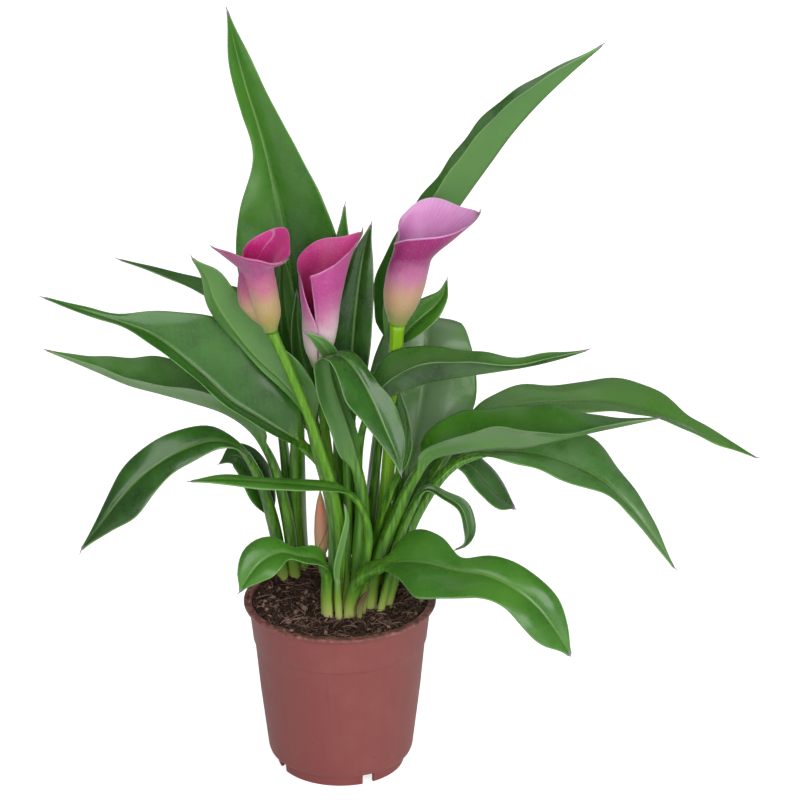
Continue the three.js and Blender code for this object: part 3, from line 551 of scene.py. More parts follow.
def leaf_cuticle(name, looks):
    """Living leaf blade under a thin wax cuticle: deep green that is patchy and veined, with a
    broad soft sheen, partly a painted grey sheen, a pale midrib and a thin pale margin; the
    underside is greyer and duller. Leaves in shade get painted shade: a lower tone and darker
    stalks."""
    made, tree = new_material(name)
    place = add_node(tree, "TexCoord", out="Object")
    tone_and_shade, vein, rib, ribbed, edge, under, stalk, rise, end, painted_sheen = (
        add_node(tree, "Attribute", out="Fac", attribute_name=mark) for mark in (
            "tone_and_shade", "vein", "rib", "ribbed", "edge", "under", "stalk", "rise", "end", "painted_sheen"))
    # The green drifts in patches 26 mm wide, and groups of cells mottle it every 3 mm.
    patches = add_node(tree, "TexNoise", {
        "Vector": place, "Scale": 1 / (26 * MM), "Detail": 3, "Roughness": 0.55}, "Fac")
    mottle = add_node(tree, "TexNoise", {
        "Vector": place, "Scale": 1 / (3.2 * MM), "Detail": 4, "Roughness": 0.6}, "Fac")
    drift = add_node(tree, "Math", [patches, 0.5], operation="SUBTRACT")
    drift = add_node(tree, "Math", [drift, 0.7], operation="MULTIPLY")
    # The tone also paints shade: leaves that stand in shade are given a low, dark tone.
    shade = add_node(tree, "Math", [tone_and_shade, drift], operation="ADD")
    upper = add_node(tree, "ValToRGB", [shade], stops=[
        (0.05, looks.upper_deep), (0.5, looks.upper_mid), (0.95, looks.upper_fresh)])
    lower = add_node(tree, "Mix", {
        0: shade, 6: looks.under_deep, 7: looks.under_fresh}, 2, **COLOURS)
    skin = add_node(tree, "Mix", {0: under, 6: upper, 7: lower}, 2, **COLOURS)
    # Painted sheen: the grey of soft reflected light is laid on some blades, unevenly.
    painted_sheen_share = add_node(tree, "MapRange", [patches, 0.2, 0.6], **EASED)
    painted_sheen_share = add_node(tree, "Math", [painted_sheen, painted_sheen_share], operation="MULTIPLY")
    skin = add_node(tree, "Mix", {0: painted_sheen_share, 6: skin, 7: looks.painted_sheen}, 2, **COLOURS)
    # The mottling is barely lighter and darker.
    cells = add_node(tree, "MapRange", [mottle, 0.35, 0.75], **EASED)
    cells = add_node(tree, "Math", [cells, 0.1], operation="MULTIPLY")
    skin = add_node(tree, "Mix", {0: cells, 6: skin, 7: looks.vein}, 2, **COLOURS)
    # Side veins are soft pale lines, 4.5 mm apart, with three finer ones between each two. They
    # come and go in patches 14 mm wide.
    lines = 0.0
    for count, low, strength in ((1, 0.3, 0.1), (4, 0.0, 0.05)):
        line = add_node(tree, "Math", [vein, 2 * math.pi * count], operation="MULTIPLY")
        line = add_node(tree, "Math", [line], operation="COSINE")
        line = add_node(tree, "MapRange", [line, low, 1.0], **EASED)
        line = add_node(tree, "Math", [line, strength], operation="MULTIPLY")
        lines = add_node(tree, "Math", [lines, line], operation="ADD")
    fading = add_node(tree, "TexNoise", {
        "Vector": place, "Scale": 1 / (14 * MM), "Detail": 2, "Roughness": 0.55}, "Fac")
    fading = add_node(tree, "MapRange", [fading, 0.3, 0.75], **EASED)
    lines = add_node(tree, "Math", [lines, fading], operation="MULTIPLY")
    off_stalk = add_node(tree, "Math", [1.0, stalk], operation="SUBTRACT")
    drawn = add_node(tree, "Math", [lines, off_stalk], operation="MULTIPLY")
    skin = add_node(tree, "Mix", {0: drawn, 6: skin, 7: looks.vein}, 2, **COLOURS)
    # Midrib, pale along its crest, and the clear margin; each is about a millimetre wide.
    crest = add_node(tree, "MapRange", [rib, 1.1, 0.2], **EASED)
    crest = add_node(tree, "Math", [crest, ribbed], operation="MULTIPLY")
    crest = add_node(tree, "Math", [crest, 0.4], operation="MULTIPLY")
    skin = add_node(tree, "Mix", {0: crest, 6: skin, 7: looks.midrib}, 2, **COLOURS)
    margin = add_node(tree, "MapRange", [edge, 1.1, 0.2], **EASED)
    margin = add_node(tree, "Math", [margin, off_stalk], operation="MULTIPLY")
    margin = add_node(tree, "Math", [margin, 0.55], operation="MULTIPLY")
    skin = add_node(tree, "Mix", {0: margin, 6: skin, 7: looks.margin}, 2, **COLOURS)
    # Stalk: length streaks 2 mm wide, painted darker as shade on leaves of low tone, and blanched
    # over its first 50 mm.
    lengthwise = add_node(tree, "Mapping", {"Vector": place, "Scale": (1, 1, 0.08)})
    streaks = add_node(tree, "TexNoise", {
        "Vector": lengthwise, "Scale": 1 / (2 * MM), "Detail": 2, "Roughness": 0.5}, "Fac")
    streaks = add_node(tree, "MapRange", [streaks, 0.3, 0.7], **EASED)
    green = add_node(tree, "Mix", {
        0: streaks, 6: looks.stalk_deep, 7: looks.stalk_fresh}, 2, **COLOURS)
    # Painted shade: stalks of low-toned leaves, which stand in shade, are pulled towards the deep
    # green.
    dark = add_node(tree, "Math", [1.0, tone_and_shade], operation="SUBTRACT")
    dark = add_node(tree, "Math", [dark, 0.35], operation="MULTIPLY")
    green = add_node(tree, "Mix", {0: dark, 6: green, 7: looks.upper_deep}, 2, **COLOURS)
    blanched = add_node(tree, "Math", [rise, 100.0], operation="DIVIDE")
    blanched = add_node(tree, "ValToRGB", [blanched], stops=[
        (0.13, linear("c3bd88")), (0.18, linear("b3bf6c")),
        (0.27, linear("86a842")), (0.44, linear("4d7a26"))])
    above = add_node(tree, "MapRange", [rise, 20, 50], **EASED)
    green = add_node(tree, "Mix", {0: above, 6: blanched, 7: green}, 2, **COLOURS)
    skin = add_node(tree, "Mix", {0: stalk, 6: skin, 7: green}, 2, **COLOURS)
    # The thread at the tip has dried to a grey mauve.
    skin = add_node(tree, "Mix", {0: end, 6: skin, 7: looks.thread}, 2, **COLOURS)
    # Sunken veins, raised cells and soft dents.
    height = 0.0
    for part, share in ((patches, 3.0), (mottle, 0.5), (lines, -1.2)):
        part = add_node(tree, "Math", [part, share], operation="MULTIPLY")
        height = add_node(tree, "Math", [height, part], operation="ADD")
    bump = add_node(tree, "Bump", {"Strength": 0.5, "Distance": looks.relief, "Height": height})
    # The sheen is broken by the cells and dulled in patches, below and on the dry thread.
    gloss = add_node(tree, "MapRange", {
        "Value": mottle, "From Min": 0.3, "From Max": 0.7,
        "To Min": looks.roughness - 0.04, "To Max": looks.roughness + 0.06})
    dulled = add_node(tree, "MapRange", [patches, 0.35, 0.65], **EASED)
    for part, share in ((dulled, 0.1), (under, 0.14), (end, 0.3)):
        part = add_node(tree, "Math", [part, share], operation="MULTIPLY")
        gloss = add_node(tree, "Math", [gloss, part], operation="ADD")
    shader = add_node(tree, "BsdfPrincipled", {
        "Base Color": skin, "Roughness": gloss, "IOR": 1.45, "Normal": bump,
        "Coat Weight": 0.3, "Coat Roughness": 0.14})
    add_node(tree, "OutputMaterial", {"Surface": shader})
    return made


def sheath_skin(name):
    """Papery sheath leaf: blanched at its foot, dull olive above and brown at the point."""
    made, tree = new_material(name)
    place = add_node(tree, "TexCoord", out="Object")
    rise, edge = (add_node(tree, "Attribute", out="Fac", attribute_name=mark)
                  for mark in ("rise", "edge"))
    # Dry fibres along its length, 1.6 mm apart so that they show.
    lengthwise = add_node(tree, "Mapping", {"Vector": place, "Scale": (1, 1, 0.1)})
    streaks = add_node(tree, "TexNoise", {
        "Vector": lengthwise, "Scale": 1 / (1.6 * MM), "Detail": 3, "Roughness": 0.6}, "Fac")
    share = add_node(tree, "Math", [rise, 29.0], operation="DIVIDE")
    skin = add_node(tree, "ValToRGB", [share], stops=[
        (0.0, linear("cfcf8c")), (0.5, linear("a9b061")),
        (0.78, linear("8a8450")), (1.0, linear("6a4d3c"))])
    fibres = add_node(tree, "Math", [streaks, 0.5], operation="MULTIPLY")
    skin = add_node(tree, "Mix", {0: fibres, 6: skin, 7: linear("5d5a34")}, 2, **COLOURS)
    margin = add_node(tree, "MapRange", [edge, 0.9, 0.1], **EASED)
    skin = add_node(tree, "Mix", {0: margin, 6: skin, 7: linear("6a4a3c")}, 2, **COLOURS)
    bump = add_node(tree, "Bump", {"Strength": 0.5, "Distance": 0.3 * MM, "Height": streaks})
    shader = add_node(tree, "BsdfPrincipled", {
        "Base Color": skin, "Roughness": 0.6, "Normal": bump})
    add_node(tree, "OutputMaterial", {"Surface": shader})
    return made


def stem_skin(name, looks):
    """Succulent flower stem: smooth bright yellow-green, faintly ribbed along its length and
    paler where it leaves the peat."""
    made, tree = new_material(name)
    place = add_node(tree, "TexCoord", out="Object")
    rise, ribs, bright = (add_node(tree, "Attribute", out="Fac", attribute_name=mark)
                          for mark in ("rise", "ribs", "bright"))
    # Length streaks 1.8 mm wide.
    lengthwise = add_node(tree, "Mapping", {"Vector": place, "Scale": (1, 1, 0.06)})
    streaks = add_node(tree, "TexNoise", {
        "Vector": lengthwise, "Scale": 1 / (1.8 * MM), "Detail": 2, "Roughness": 0.5}, "Fac")
    share = add_node(tree, "MapRange", [streaks, 0.25, 0.75], **EASED)
    body = add_node(tree, "Mix", {
        0: share, 6: looks.stem_deep, 7: looks.stem_fresh}, 2, **COLOURS)
    share = add_node(tree, "Math", [bright, 0.8], operation="MULTIPLY")
    body = add_node(tree, "Mix", {0: share, 6: body, 7: looks.stem_bright}, 2, **COLOURS)
    # Blanched over its first 45 mm.
    share = add_node(tree, "MapRange", [rise, 45, 0], **EASED)
    body = add_node(tree, "Mix", {0: share, 6: body, 7: linear("a9b05c")}, 2, **COLOURS)
    # Pale pores, drawn 0.9 mm apart so that they show.
    pores = add_node(tree, "TexNoise", {
        "Vector": place, "Scale": 1 / (0.9 * MM), "Detail": 2, "Roughness": 0.55}, "Fac")
    pores = add_node(tree, "MapRange", [pores, 0.62, 0.8], **EASED)
    pores = add_node(tree, "Math", [pores, 0.35], operation="MULTIPLY")
    body = add_node(tree, "Mix", {0: pores, 6: body, 7: linear("c3cf7c")}, 2, **COLOURS)
    height = add_node(tree, "Math", [ribs], operation="COSINE")
    height = add_node(tree, "Math", [height, streaks], operation="ADD")
    bump = add_node(tree, "Bump", {"Strength": 0.35, "Distance": 0.25 * MM, "Height": height})
    shader = add_node(tree, "BsdfPrincipled", {
        "Base Color": body, "Roughness": 0.38, "Normal": bump, "IOR": 1.42,
        "Subsurface Weight": 0.12, "Subsurface Radius": (0.4, 1.0, 0.25),
        "Subsurface Scale": 3 * MM})
    add_node(tree, "OutputMaterial", {"Surface": shader})
    return made


def spathe_velvet(name, looks):
    """Flower sheet: thick living tissue with a velvety inside, strong colour at the mouth that
    fades down through cream to green where it joins the stem, and hair-thin length veins."""
    made, tree = new_material(name)
    place = add_node(tree, "TexCoord", out="Object")
    up, turn, inside, edge, end = (add_node(tree, "Attribute", out="Fac", attribute_name=mark)
                                   for mark in ("up", "turn", "inside", "edge", "end"))
    # Soft clouds 11 mm wide, and the velvety grain drawn 1.1 mm wide so that it shows.
    clouds = add_node(tree, "TexNoise", {
        "Vector": place, "Scale": 1 / (11 * MM), "Detail": 3, "Roughness": 0.55}, "Fac")
    grain = add_node(tree, "TexNoise", {
        "Vector": place, "Scale": 1 / (1.1 * MM), "Detail": 3, "Roughness": 0.6}, "Fac")
    # The colour bands wander a few millimetres up and down.
    wander = add_node(tree, "Math", [clouds, 0.5], operation="SUBTRACT")
    wander = add_node(tree, "Math", [wander, 0.22], operation="MULTIPLY")
    level = add_node(tree, "Math", [up, wander], operation="ADD")
    outside = add_node(tree, "ValToRGB", [level], stops=[
        (0.03, looks.foot), (0.14, looks.low), (0.34, looks.cream),
        (0.54, looks.blush), (0.74, looks.band), (1.0, looks.lip)])
    inner = add_node(tree, "ValToRGB", [level], stops=[
        (0.25, looks.throat), (0.62, looks.inner_deep), (0.95, looks.inner)])
    pale = add_node(tree, "MapRange", [clouds, 0.45, 0.8], **EASED)
    pale = add_node(tree, "Math", [pale, 0.45], operation="MULTIPLY")
    inner = add_node(tree, "Mix", {0: pale, 6: inner, 7: looks.inner_pale}, 2, **COLOURS)
    skin = add_node(tree, "Mix", {0: inside, 6: outside, 7: inner}, 2, **COLOURS)
    # Length veins, drawn 1.2 mm apart so that they show.
    veins = add_node(tree, "Math", [turn, 2 * math.pi / 1.2], operation="MULTIPLY")
    veins = add_node(tree, "Math", [veins], operation="COSINE")
    lines = add_node(tree, "MapRange", [veins, 0.2, 1.0], **EASED)
    lines = add_node(tree, "Math", [lines, 0.13], operation="MULTIPLY")
    skin = add_node(tree, "Mix", {0: lines, 6: skin, 7: looks.vein}, 2, **COLOURS)
    pile = add_node(tree, "MapRange", [grain, 0.5, 0.8], **EASED)
    pile = add_node(tree, "Math", [pile, 0.12], operation="MULTIPLY")
    skin = add_node(tree, "Mix", {0: pile, 6: skin, 7: linear("ffe9f2")}, 2, **COLOURS)
    hem = add_node(tree, "MapRange", [edge, 0.9, 0.1], **EASED)
    hem = add_node(tree, "Math", [hem, 0.55], operation="MULTIPLY")
    skin = add_node(tree, "Mix", {0: hem, 6: skin, 7: looks.hem}, 2, **COLOURS)
    skin = add_node(tree, "Mix", {0: end, 6: skin, 7: linear("7d8560")}, 2, **COLOURS)
    height = grain
    for part, share in ((veins, 0.35), (clouds, 2.5)):
        part = add_node(tree, "Math", [part, share], operation="MULTIPLY")
        height = add_node(tree, "Math", [height, part], operation="ADD")
    bump = add_node(tree, "Bump", {"Strength": 0.3, "Distance": 0.3 * MM, "Height": height})
    shader = add_node(tree, "BsdfPrincipled", {
        "Base Color": skin, "Roughness": 0.46, "Normal": bump, "IOR": 1.42,
        "Subsurface Weight": 0.18, "Subsurface Radius": (1.0, 0.45, 0.6),
        "Subsurface Scale": 2.5 * MM, "Sheen Weight": 0.25, "Sheen Roughness": 0.4})
    add_node(tree, "OutputMaterial", {"Surface": shader})
    return made


def bud_skin(name):
    """Rolled bud: salmon tissue with fine length streaks, green at the foot and olive at the
    tip."""
    made, tree = new_material(name)
    place = add_node(tree, "TexCoord", out="Object")
    up, seam = (add_node(tree, "Attribute", out="Fac", attribute_name=mark)
                for mark in ("up", "seam"))
    # Length streaks, 1.6 mm wide.
    lengthwise = add_node(tree, "Mapping", {"Vector": place, "Scale": (1, 1, 0.1)})
    streaks = add_node(tree, "TexNoise", {
        "Vector": lengthwise, "Scale": 1 / (1.6 * MM), "Detail": 3, "Roughness": 0.6}, "Fac")
    skin = add_node(tree, "ValToRGB", [up], stops=[
        (0.0, linear("b9c070")), (0.12, linear("e4c48c")), (0.4, linear("ecb090")),
        (0.75, linear("e89478")), (0.9, linear("b9a060")), (1.0, linear("8d9f54"))])
    share = add_node(tree, "MapRange", [streaks, 0.35, 0.75], **EASED)
    share = add_node(tree, "Math", [share, 0.4], operation="MULTIPLY")
    skin = add_node(tree, "Mix", {0: share, 6: skin, 7: linear("d8a98a")}, 2, **COLOURS)
    skin = add_node(tree, "Mix", {0: seam, 6: skin, 7: linear("8a5a48")}, 2, **COLOURS)
    bump = add_node(tree, "Bump", {"Strength": 0.4, "Distance": 0.3 * MM, "Height": streaks})
    shader = add_node(tree, "BsdfPrincipled", {
        "Base Color": skin, "Roughness": 0.5, "Normal": bump,
        "Subsurface Weight": 0.15, "Subsurface Radius": (1.0, 0.5, 0.4),
        "Subsurface Scale": 3 * MM})
    add_node(tree, "OutputMaterial", {"Surface": shader})
    return made


def spadix_florets(name, looks):
    """Crowded tiny florets: dusty golden pollen on the crowns and olive-brown in the gaps."""
    made, tree = new_material(name)
    place = add_node(tree, "TexCoord", out="Object")
    crown = add_node(tree, "Attribute", out="Fac", attribute_name="crown")
    # Pollen is far finer; its dust is drawn in clumps of 0.7 mm so that it shows.
    dust = add_node(tree, "TexNoise", {
        "Vector": place, "Scale": 1 / (0.7 * MM), "Detail": 3, "Roughness": 0.6}, "Fac")
    share = add_node(tree, "MapRange", [crown, 0.15, 0.75], **EASED)
    body = add_node(tree, "Mix", {0: share, 6: looks.spadix_gap, 7: looks.spadix}, 2, **COLOURS)
    share = add_node(tree, "MapRange", [dust, 0.45, 0.75], **EASED)
    share = add_node(tree, "Math", [share, 0.5], operation="MULTIPLY")
    body = add_node(tree, "Mix", {0: share, 6: body, 7: linear("f4dc8a")}, 2, **COLOURS)
    bump = add_node(tree, "Bump", {"Strength": 0.4, "Distance": 0.2 * MM, "Height": dust})
    shader = add_node(tree, "BsdfPrincipled", {
        "Base Color": body, "Roughness": 0.85, "Normal": bump})
    add_node(tree, "OutputMaterial", {"Surface": shader})
    return made


def moulded_polypropylene(name, looks):
    """Thin injection-moulded polypropylene: an even satin brick colour with faint upright flow
    marks, rubbed paler patches, dull lime and peat dirt on the rim, the dirt laid dark enough to
    paint the rim's shade too, and specks of peat."""
    made, tree = new_material(name)
    place = add_node(tree, "TexCoord", out="Object")
    level = add_node(tree, "SeparateXYZ", [place], "Z")
    # Upright flow marks 5 mm wide, rubbed patches 22 mm wide and scuffs 3.5 mm wide; the
    # mould's own grain is finer and is drawn 0.9 mm wide so that it shows.
    upright = add_node(tree, "Mapping", {"Vector": place, "Scale": (1, 1, 0.05)})
    flow = add_node(tree, "TexNoise", {
        "Vector": upright, "Scale": 1 / (5 * MM), "Detail": 3, "Roughness": 0.5}, "Fac")
    clouds = add_node(tree, "TexNoise", {
        "Vector": place, "Scale": 1 / (22 * MM), "Detail": 4, "Roughness": 0.6}, "Fac")
    grain = add_node(tree, "TexNoise", {
        "Vector": place, "Scale": 1 / (0.9 * MM), "Detail": 2, "Roughness": 0.6}, "Fac")
    share = add_node(tree, "MapRange", [flow, 0.0, 0.5], **EASED)
    body = add_node(tree, "Mix", {0: share, 6: looks.deep, 7: looks.body}, 2, **COLOURS)
    share = add_node(tree, "MapRange", [clouds, 0.45, 0.75], **EASED)
    share = add_node(tree, "Math", [share, 0.3], operation="MULTIPLY")
    body = add_node(tree, "Mix", {0: share, 6: body, 7: looks.rubbed}, 2, **COLOURS)
    share = add_node(tree, "MapRange", [grain, 0.4, 0.8], **EASED)
    share = add_node(tree, "Math", [share, 0.14], operation="MULTIPLY")
    body = add_node(tree, "Mix", {0: share, 6: body, 7: looks.deep}, 2, **COLOURS)
    # Short upright scuffs, in the rubbed patches.
    drawn_out = add_node(tree, "Mapping", {"Vector": place, "Scale": (1, 1, 0.25)})
    scuffs = add_node(tree, "TexNoise", {
        "Vector": drawn_out, "Scale": 1 / (3.5 * MM), "Detail": 2, "Roughness": 0.5}, "Fac")
    scuffs = add_node(tree, "MapRange", [scuffs, 0.66, 0.72], **EASED)
    share = add_node(tree, "MapRange", [clouds, 0.4, 0.7], **EASED)
    scuffs = add_node(tree, "Math", [scuffs, share], operation="MULTIPLY")
    scuffs = add_node(tree, "Math", [scuffs, 0.3], operation="MULTIPLY")
    body = add_node(tree, "Mix", {0: scuffs, 6: body, 7: looks.rubbed}, 2, **COLOURS)
    # Specks of peat that stuck to the wet wall: nearly a millimetre across and 9 mm apart, in
    # some of the patches 31 mm wide.
    specks = add_node(tree, "TexVoronoi", {
        "Vector": place, "Scale": 1 / (9 * MM), "Randomness": 1.0}, "Distance", feature="F1")
    specks = add_node(tree, "MapRange", [specks, 0.055, 0.035], **EASED)
    wet = add_node(tree, "TexNoise", {
        "Vector": place, "Scale": 1 / (31 * MM), "Detail": 2, "Roughness": 0.55}, "Fac")
    wet = add_node(tree, "MapRange", [wet, 0.5, 0.56], **EASED)
    specks = add_node(tree, "Math", [specks, wet], operation="MULTIPLY")
    specks = add_node(tree, "Math", [specks, 0.75], operation="MULTIPLY")
    body = add_node(tree, "Mix", {0: specks, 6: body, 7: linear("40241f")}, 2, **COLOURS)
    # Lime and then dirt on the rim, in patches 4 and 5.5 mm wide; the dark dirt also paints the
    # rim's shade.
    for start, full, width, rough, low, high, strength, tint in (
            (109.5, 111.9, 4, 0.65, 0.4, 0.62, 0.45, "b08c80"),
            (108.5, 111.8, 5.5, 0.7, 0.44, 0.56, 0.75, "4a3027")):
        rim = add_node(tree, "MapRange", [level, start * MM, full * MM], **EASED)
        crust_and_shade = add_node(tree, "TexNoise", {
            "Vector": place, "Scale": 1 / (width * MM), "Detail": 4, "Roughness": rough}, "Fac")
        crust_and_shade = add_node(tree, "MapRange", [crust_and_shade, low, high], **EASED)
        crust_and_shade = add_node(tree, "Math", [rim, crust_and_shade], operation="MULTIPLY")
        crust_and_shade = add_node(tree, "Math", [crust_and_shade, strength], operation="MULTIPLY")
        body = add_node(tree, "Mix", {0: crust_and_shade, 6: body, 7: linear(tint)}, 2, **COLOURS)
    height = grain
    for part, share in ((flow, 0.8), (clouds, 3.0)):
        part = add_node(tree, "Math", [part, share], operation="MULTIPLY")
        height = add_node(tree, "Math", [height, part], operation="ADD")
    bump = add_node(tree, "Bump", {"Strength": 0.35, "Distance": 0.2 * MM, "Height": height})
    satin = add_node(tree, "MapRange", {
        "Value": clouds, "From Min": 0.3, "From Max": 0.7,
        "To Min": looks.roughness - 0.06, "To Max": looks.roughness + 0.08})
    shader = add_node(tree, "BsdfPrincipled", {
        "Base Color": body, "Roughness": satin, "IOR": 1.49, "Normal": bump})
    add_node(tree, "OutputMaterial", {"Surface": shader})
    return made


def milled_peat(name, looks):
    """Moist milled peat: nearly black and matte, with brown grains and pale rotted fibres."""
    made, tree = new_material(name)
    place = add_node(tree, "TexCoord", out="Object")
    shade = add_node(tree, "Attribute", out="Fac", attribute_name="shade")
    # Brown grains 1.3 mm wide and pale ones of 0.45 mm.
    grain = add_node(tree, "TexNoise", {
        "Vector": place, "Scale": 1 / (1.3 * MM), "Detail": 4, "Roughness": 0.65}, "Fac")
    fine = add_node(tree, "TexNoise", {
        "Vector": place, "Scale": 1 / (0.45 * MM), "Detail": 2, "Roughness": 0.6}, "Fac")
    share = add_node(tree, "MapRange", [grain, 0.35, 0.7], **EASED)
    body = add_node(tree, "Mix", {0: share, 6: looks.peat_dark, 7: looks.peat_mid}, 2, **COLOURS)
    share = add_node(tree, "MapRange", [shade, 0.55, 1.0], **EASED)
    body = add_node(tree, "Mix", {0: share, 6: body, 7: looks.peat_pale}, 2, **COLOURS)
    share = add_node(tree, "MapRange", [fine, 0.62, 0.75], **EASED)
    share = add_node(tree, "Math", [share, 0.4], operation="MULTIPLY")
    body = add_node(tree, "Mix", {0: share, 6: body, 7: looks.peat_pale}, 2, **COLOURS)
    height = add_node(tree, "Math", [grain, fine], operation="ADD")
    bump = add_node(tree, "Bump", {"Strength": 0.9, "Distance": 0.7 * MM, "Height": height})
    shader = add_node(tree, "BsdfPrincipled", {
        "Base Color": body, "Roughness": 0.92, "Normal": bump, "Specular IOR Level": 0.25})
    add_node(tree, "OutputMaterial", {"Surface": shader})
    return made


def studio_paper(name, looks):
    """Matte seamless paper that glows a little of itself: a plain white floor, brighter to the eye
    than in the light that it sheds on the plant."""
    made, tree = new_material(name)
    place = add_node(tree, "TexCoord", out="Object")
    # The paper's tooth is finer; it is drawn 2 mm wide.
    tooth = add_node(tree, "TexNoise", {
        "Vector": place, "Scale": 1 / (2 * MM), "Detail": 2, "Roughness": 0.55}, "Fac")
    tooth = add_node(tree, "Math", [tooth, 0.03], operation="MULTIPLY")
    body = add_node(tree, "Mix", {0: tooth, 6: looks.floor, 7: linear("e8e8e8")}, 2, **COLOURS)
    seen = add_node(tree, "LightPath", out="Is Camera Ray")
    glow = add_node(tree, "Math", [seen, looks.glow], operation="MULTIPLY")
    glow = add_node(tree, "Math", [glow, 0.1], operation="ADD")
    shader = add_node(tree, "BsdfPrincipled", {
        "Base Color": body, "Roughness": 0.95, "Specular IOR Level": 0.1,
        "Emission Color": (1, 1, 1), "Emission Strength": glow})
    add_node(tree, "OutputMaterial", {"Surface": shader})
    return made


# ---- leaf ----------------------------------------------------------------------------
def leaf_shell(leaf, seed):
    """Stalk, blade and tip thread of one leaf as a single closed shell."""
    across, thread_rows = 12, 6
    spine = Spine(leaf["at"])
    first, last = np.array(leaf["at"][0], float), np.array(leaf["at"][-1], float)
    outward = unit([last[0] - first[0], last[1] - first[1], 0])
    side = np.cross([0, 0, 1], outward)
    blade = leaf["blade"]
    stalk_rows = max(8, round(spine.length * blade / 6))
    blade_rows = max(28, round(spine.length * (1 - blade) / 3.2))
    u = np.concatenate([np.linspace(0, blade, stalk_rows + 1)[:-1],
                        blade + (1 - blade) * np.linspace(0, 1, blade_rows + 1)])
    t = np.clip((u - blade) / (1 - blade), 0, 1)
    centre, way = spine.at(u), spine.way(u)
    a = unit(side - (way @ side)[:, None] * way)
    n = np.cross(way, a)
    roll = np.radians(along(leaf["roll"], t)) * smooth(u / blade)
    ar = a * np.cos(roll)[:, None] + n * np.sin(roll)[:, None]
    nr = n * np.cos(roll)[:, None] - a * np.sin(roll)[:, None]

    # One turn round the section: over the upper face, then back under the lower one, with its
    # points a little closer at the margins.
    over = np.linspace(-1, 1, 2 * across + 1)
    over = np.sign(over) * (1 - (1 - np.abs(over)) ** 1.15)
    cross = np.concatenate([over, over[-2:0:-1]])[None, :]
    face = np.concatenate([np.ones(2 * across + 1), -np.ones(2 * across - 1)])[None, :]
    face = np.where(np.abs(cross) > 0.999, 0.0, face)
    out = np.abs(cross)
    down = t[:, None]
    radius = (leaf["stalk"] * (1 - 0.3 * np.minimum(1, u / blade)))[:, None]
    turn = math.pi / 2 * (1 - cross)
    # Stalks clasp one another: wider than deep, and flat on the side that faces the shoot.
    clasp = (1.15 + 0.3 * smooth(u * spine.length / 60))[:, None]
    sheath = (1 + 0.4 * np.exp(-((u * spine.length - 62) / 42) ** 2))[:, None]
    round_x = radius * clasp * sheath * np.cos(turn)
    round_z = radius * sheath * np.sin(turn) * np.where(face > 0, 0.75, -1.3)

    widths = [along(leaf.get(key, leaf["half"]), t)[:, None] for key in ("half", "other")]
    half = np.maximum(TIP_HALF_WIDTH, np.where(cross > 0, widths[1], widths[0]))
    widest = max(leaf["half"])
    fold = np.radians(along(leaf["fold"], t))[:, None]
    bend = math.radians(leaf["curl"])
    x = np.zeros_like(half * out)
    z = np.zeros_like(x)
    for k in range(4):
        angle = fold + bend * ((k + 0.5) / 4) * out
        x += half * out * np.cos(angle) / 4
        z += half * out * np.sin(angle) / 4
    height, waves, phase = leaf["wave"]
    phase = phase + np.where(cross < 0, 2, 0)
    ripple = height * out ** 2 * np.sin(math.pi * waves * down + phase) \
        * np.minimum(1, 1.5 * half / widest)
    # Slow unevenness of a living blade: quilting between the side veins and a fine frill.
    s = (u * spine.length)[:, None]
    spread = np.minimum(1, half / 12)
    quilt = 0.32 * np.sin(s / 6.3 + seed + 2.2 * out) * np.sin(math.pi * out) * spread
    sway = 1.1 * np.sin(s / 15 + 2.1 * seed) * np.sin(2.4 * cross + seed) * out * spread
    frill = 0.45 * np.sin(s / 4.6 + 3.7 * seed + np.where(cross < 0, 1.3, 0)) * out ** 6 * spread
    puff = 0.055 * half * np.sin(math.pi * out)
    # The midrib stands out below as a keel and lies above in a shallow groove.
    keel = radius * (1 - down) ** 1.5 * (1 - smooth(out * 2))
    groove = 0.5 * np.exp(-(half * out / 1.6) ** 2) * np.minimum(1, 6 * down) \
        * np.minimum(1, half / 8)
    thick = BLADE_THICKNESS / 2 * (1 - 0.6 * out ** 4)
    flat_x = x * np.sign(cross)
    flat_z = z + ripple + quilt + sway + frill + puff + face * thick \
        - np.where(face < 0, keel, 0) - np.where(face > 0, groove, 0)
    mix = smooth(down / 0.1)
    sx = round_x + (flat_x - round_x) * mix
    sz = round_z + (flat_z - round_z) * mix
    points = centre[:, None, :] + ar[:, None, :] * sx[..., None] + nr[:, None, :] * sz[..., None]

    ones = np.ones_like(points[..., 0])
    reach = half * out
    # Veins leave the midrib at about 45 degrees and bend to run along the margin.
    vein = (s * ones + 30 * np.log(1 - 0.86 * out) * (half / widest)) / VEIN_SPACING
    # Painted light and shade: each half's tone is shifted, fully from just beside the midrib
    # outwards.
    near, far = leaf.get("painted_half_shading", (0, 0))
    painted_half_shading_shift = np.where(cross > 0, far, near) * smooth(out / 0.12)
    marks = {
        "tone_and_shade": ones * leaf["tone_and_shade"] + 0.1 * np.sin(s / 41 + seed) + painted_half_shading_shift,
        "painted_sheen": ones * leaf.get("painted_sheen", 0) * (1 - 0.5 * out ** 3),
        "rib": reach * ones,
        "ribbed": (1 - smooth((down - 0.75) / 0.25)) * np.minimum(1, half / 8) * ones,
        "edge": (half - reach) * ones + 4 * (1 - mix),
        "vein": vein,
        "under": (1 - face) / 2 * ones * leaf.get("back", 1),
        "stalk": (1 - smooth(down / 0.16)) * ones,
        "rise": s * ones,
        "end": smooth((down - 0.985) / 0.015) * ones,
    }
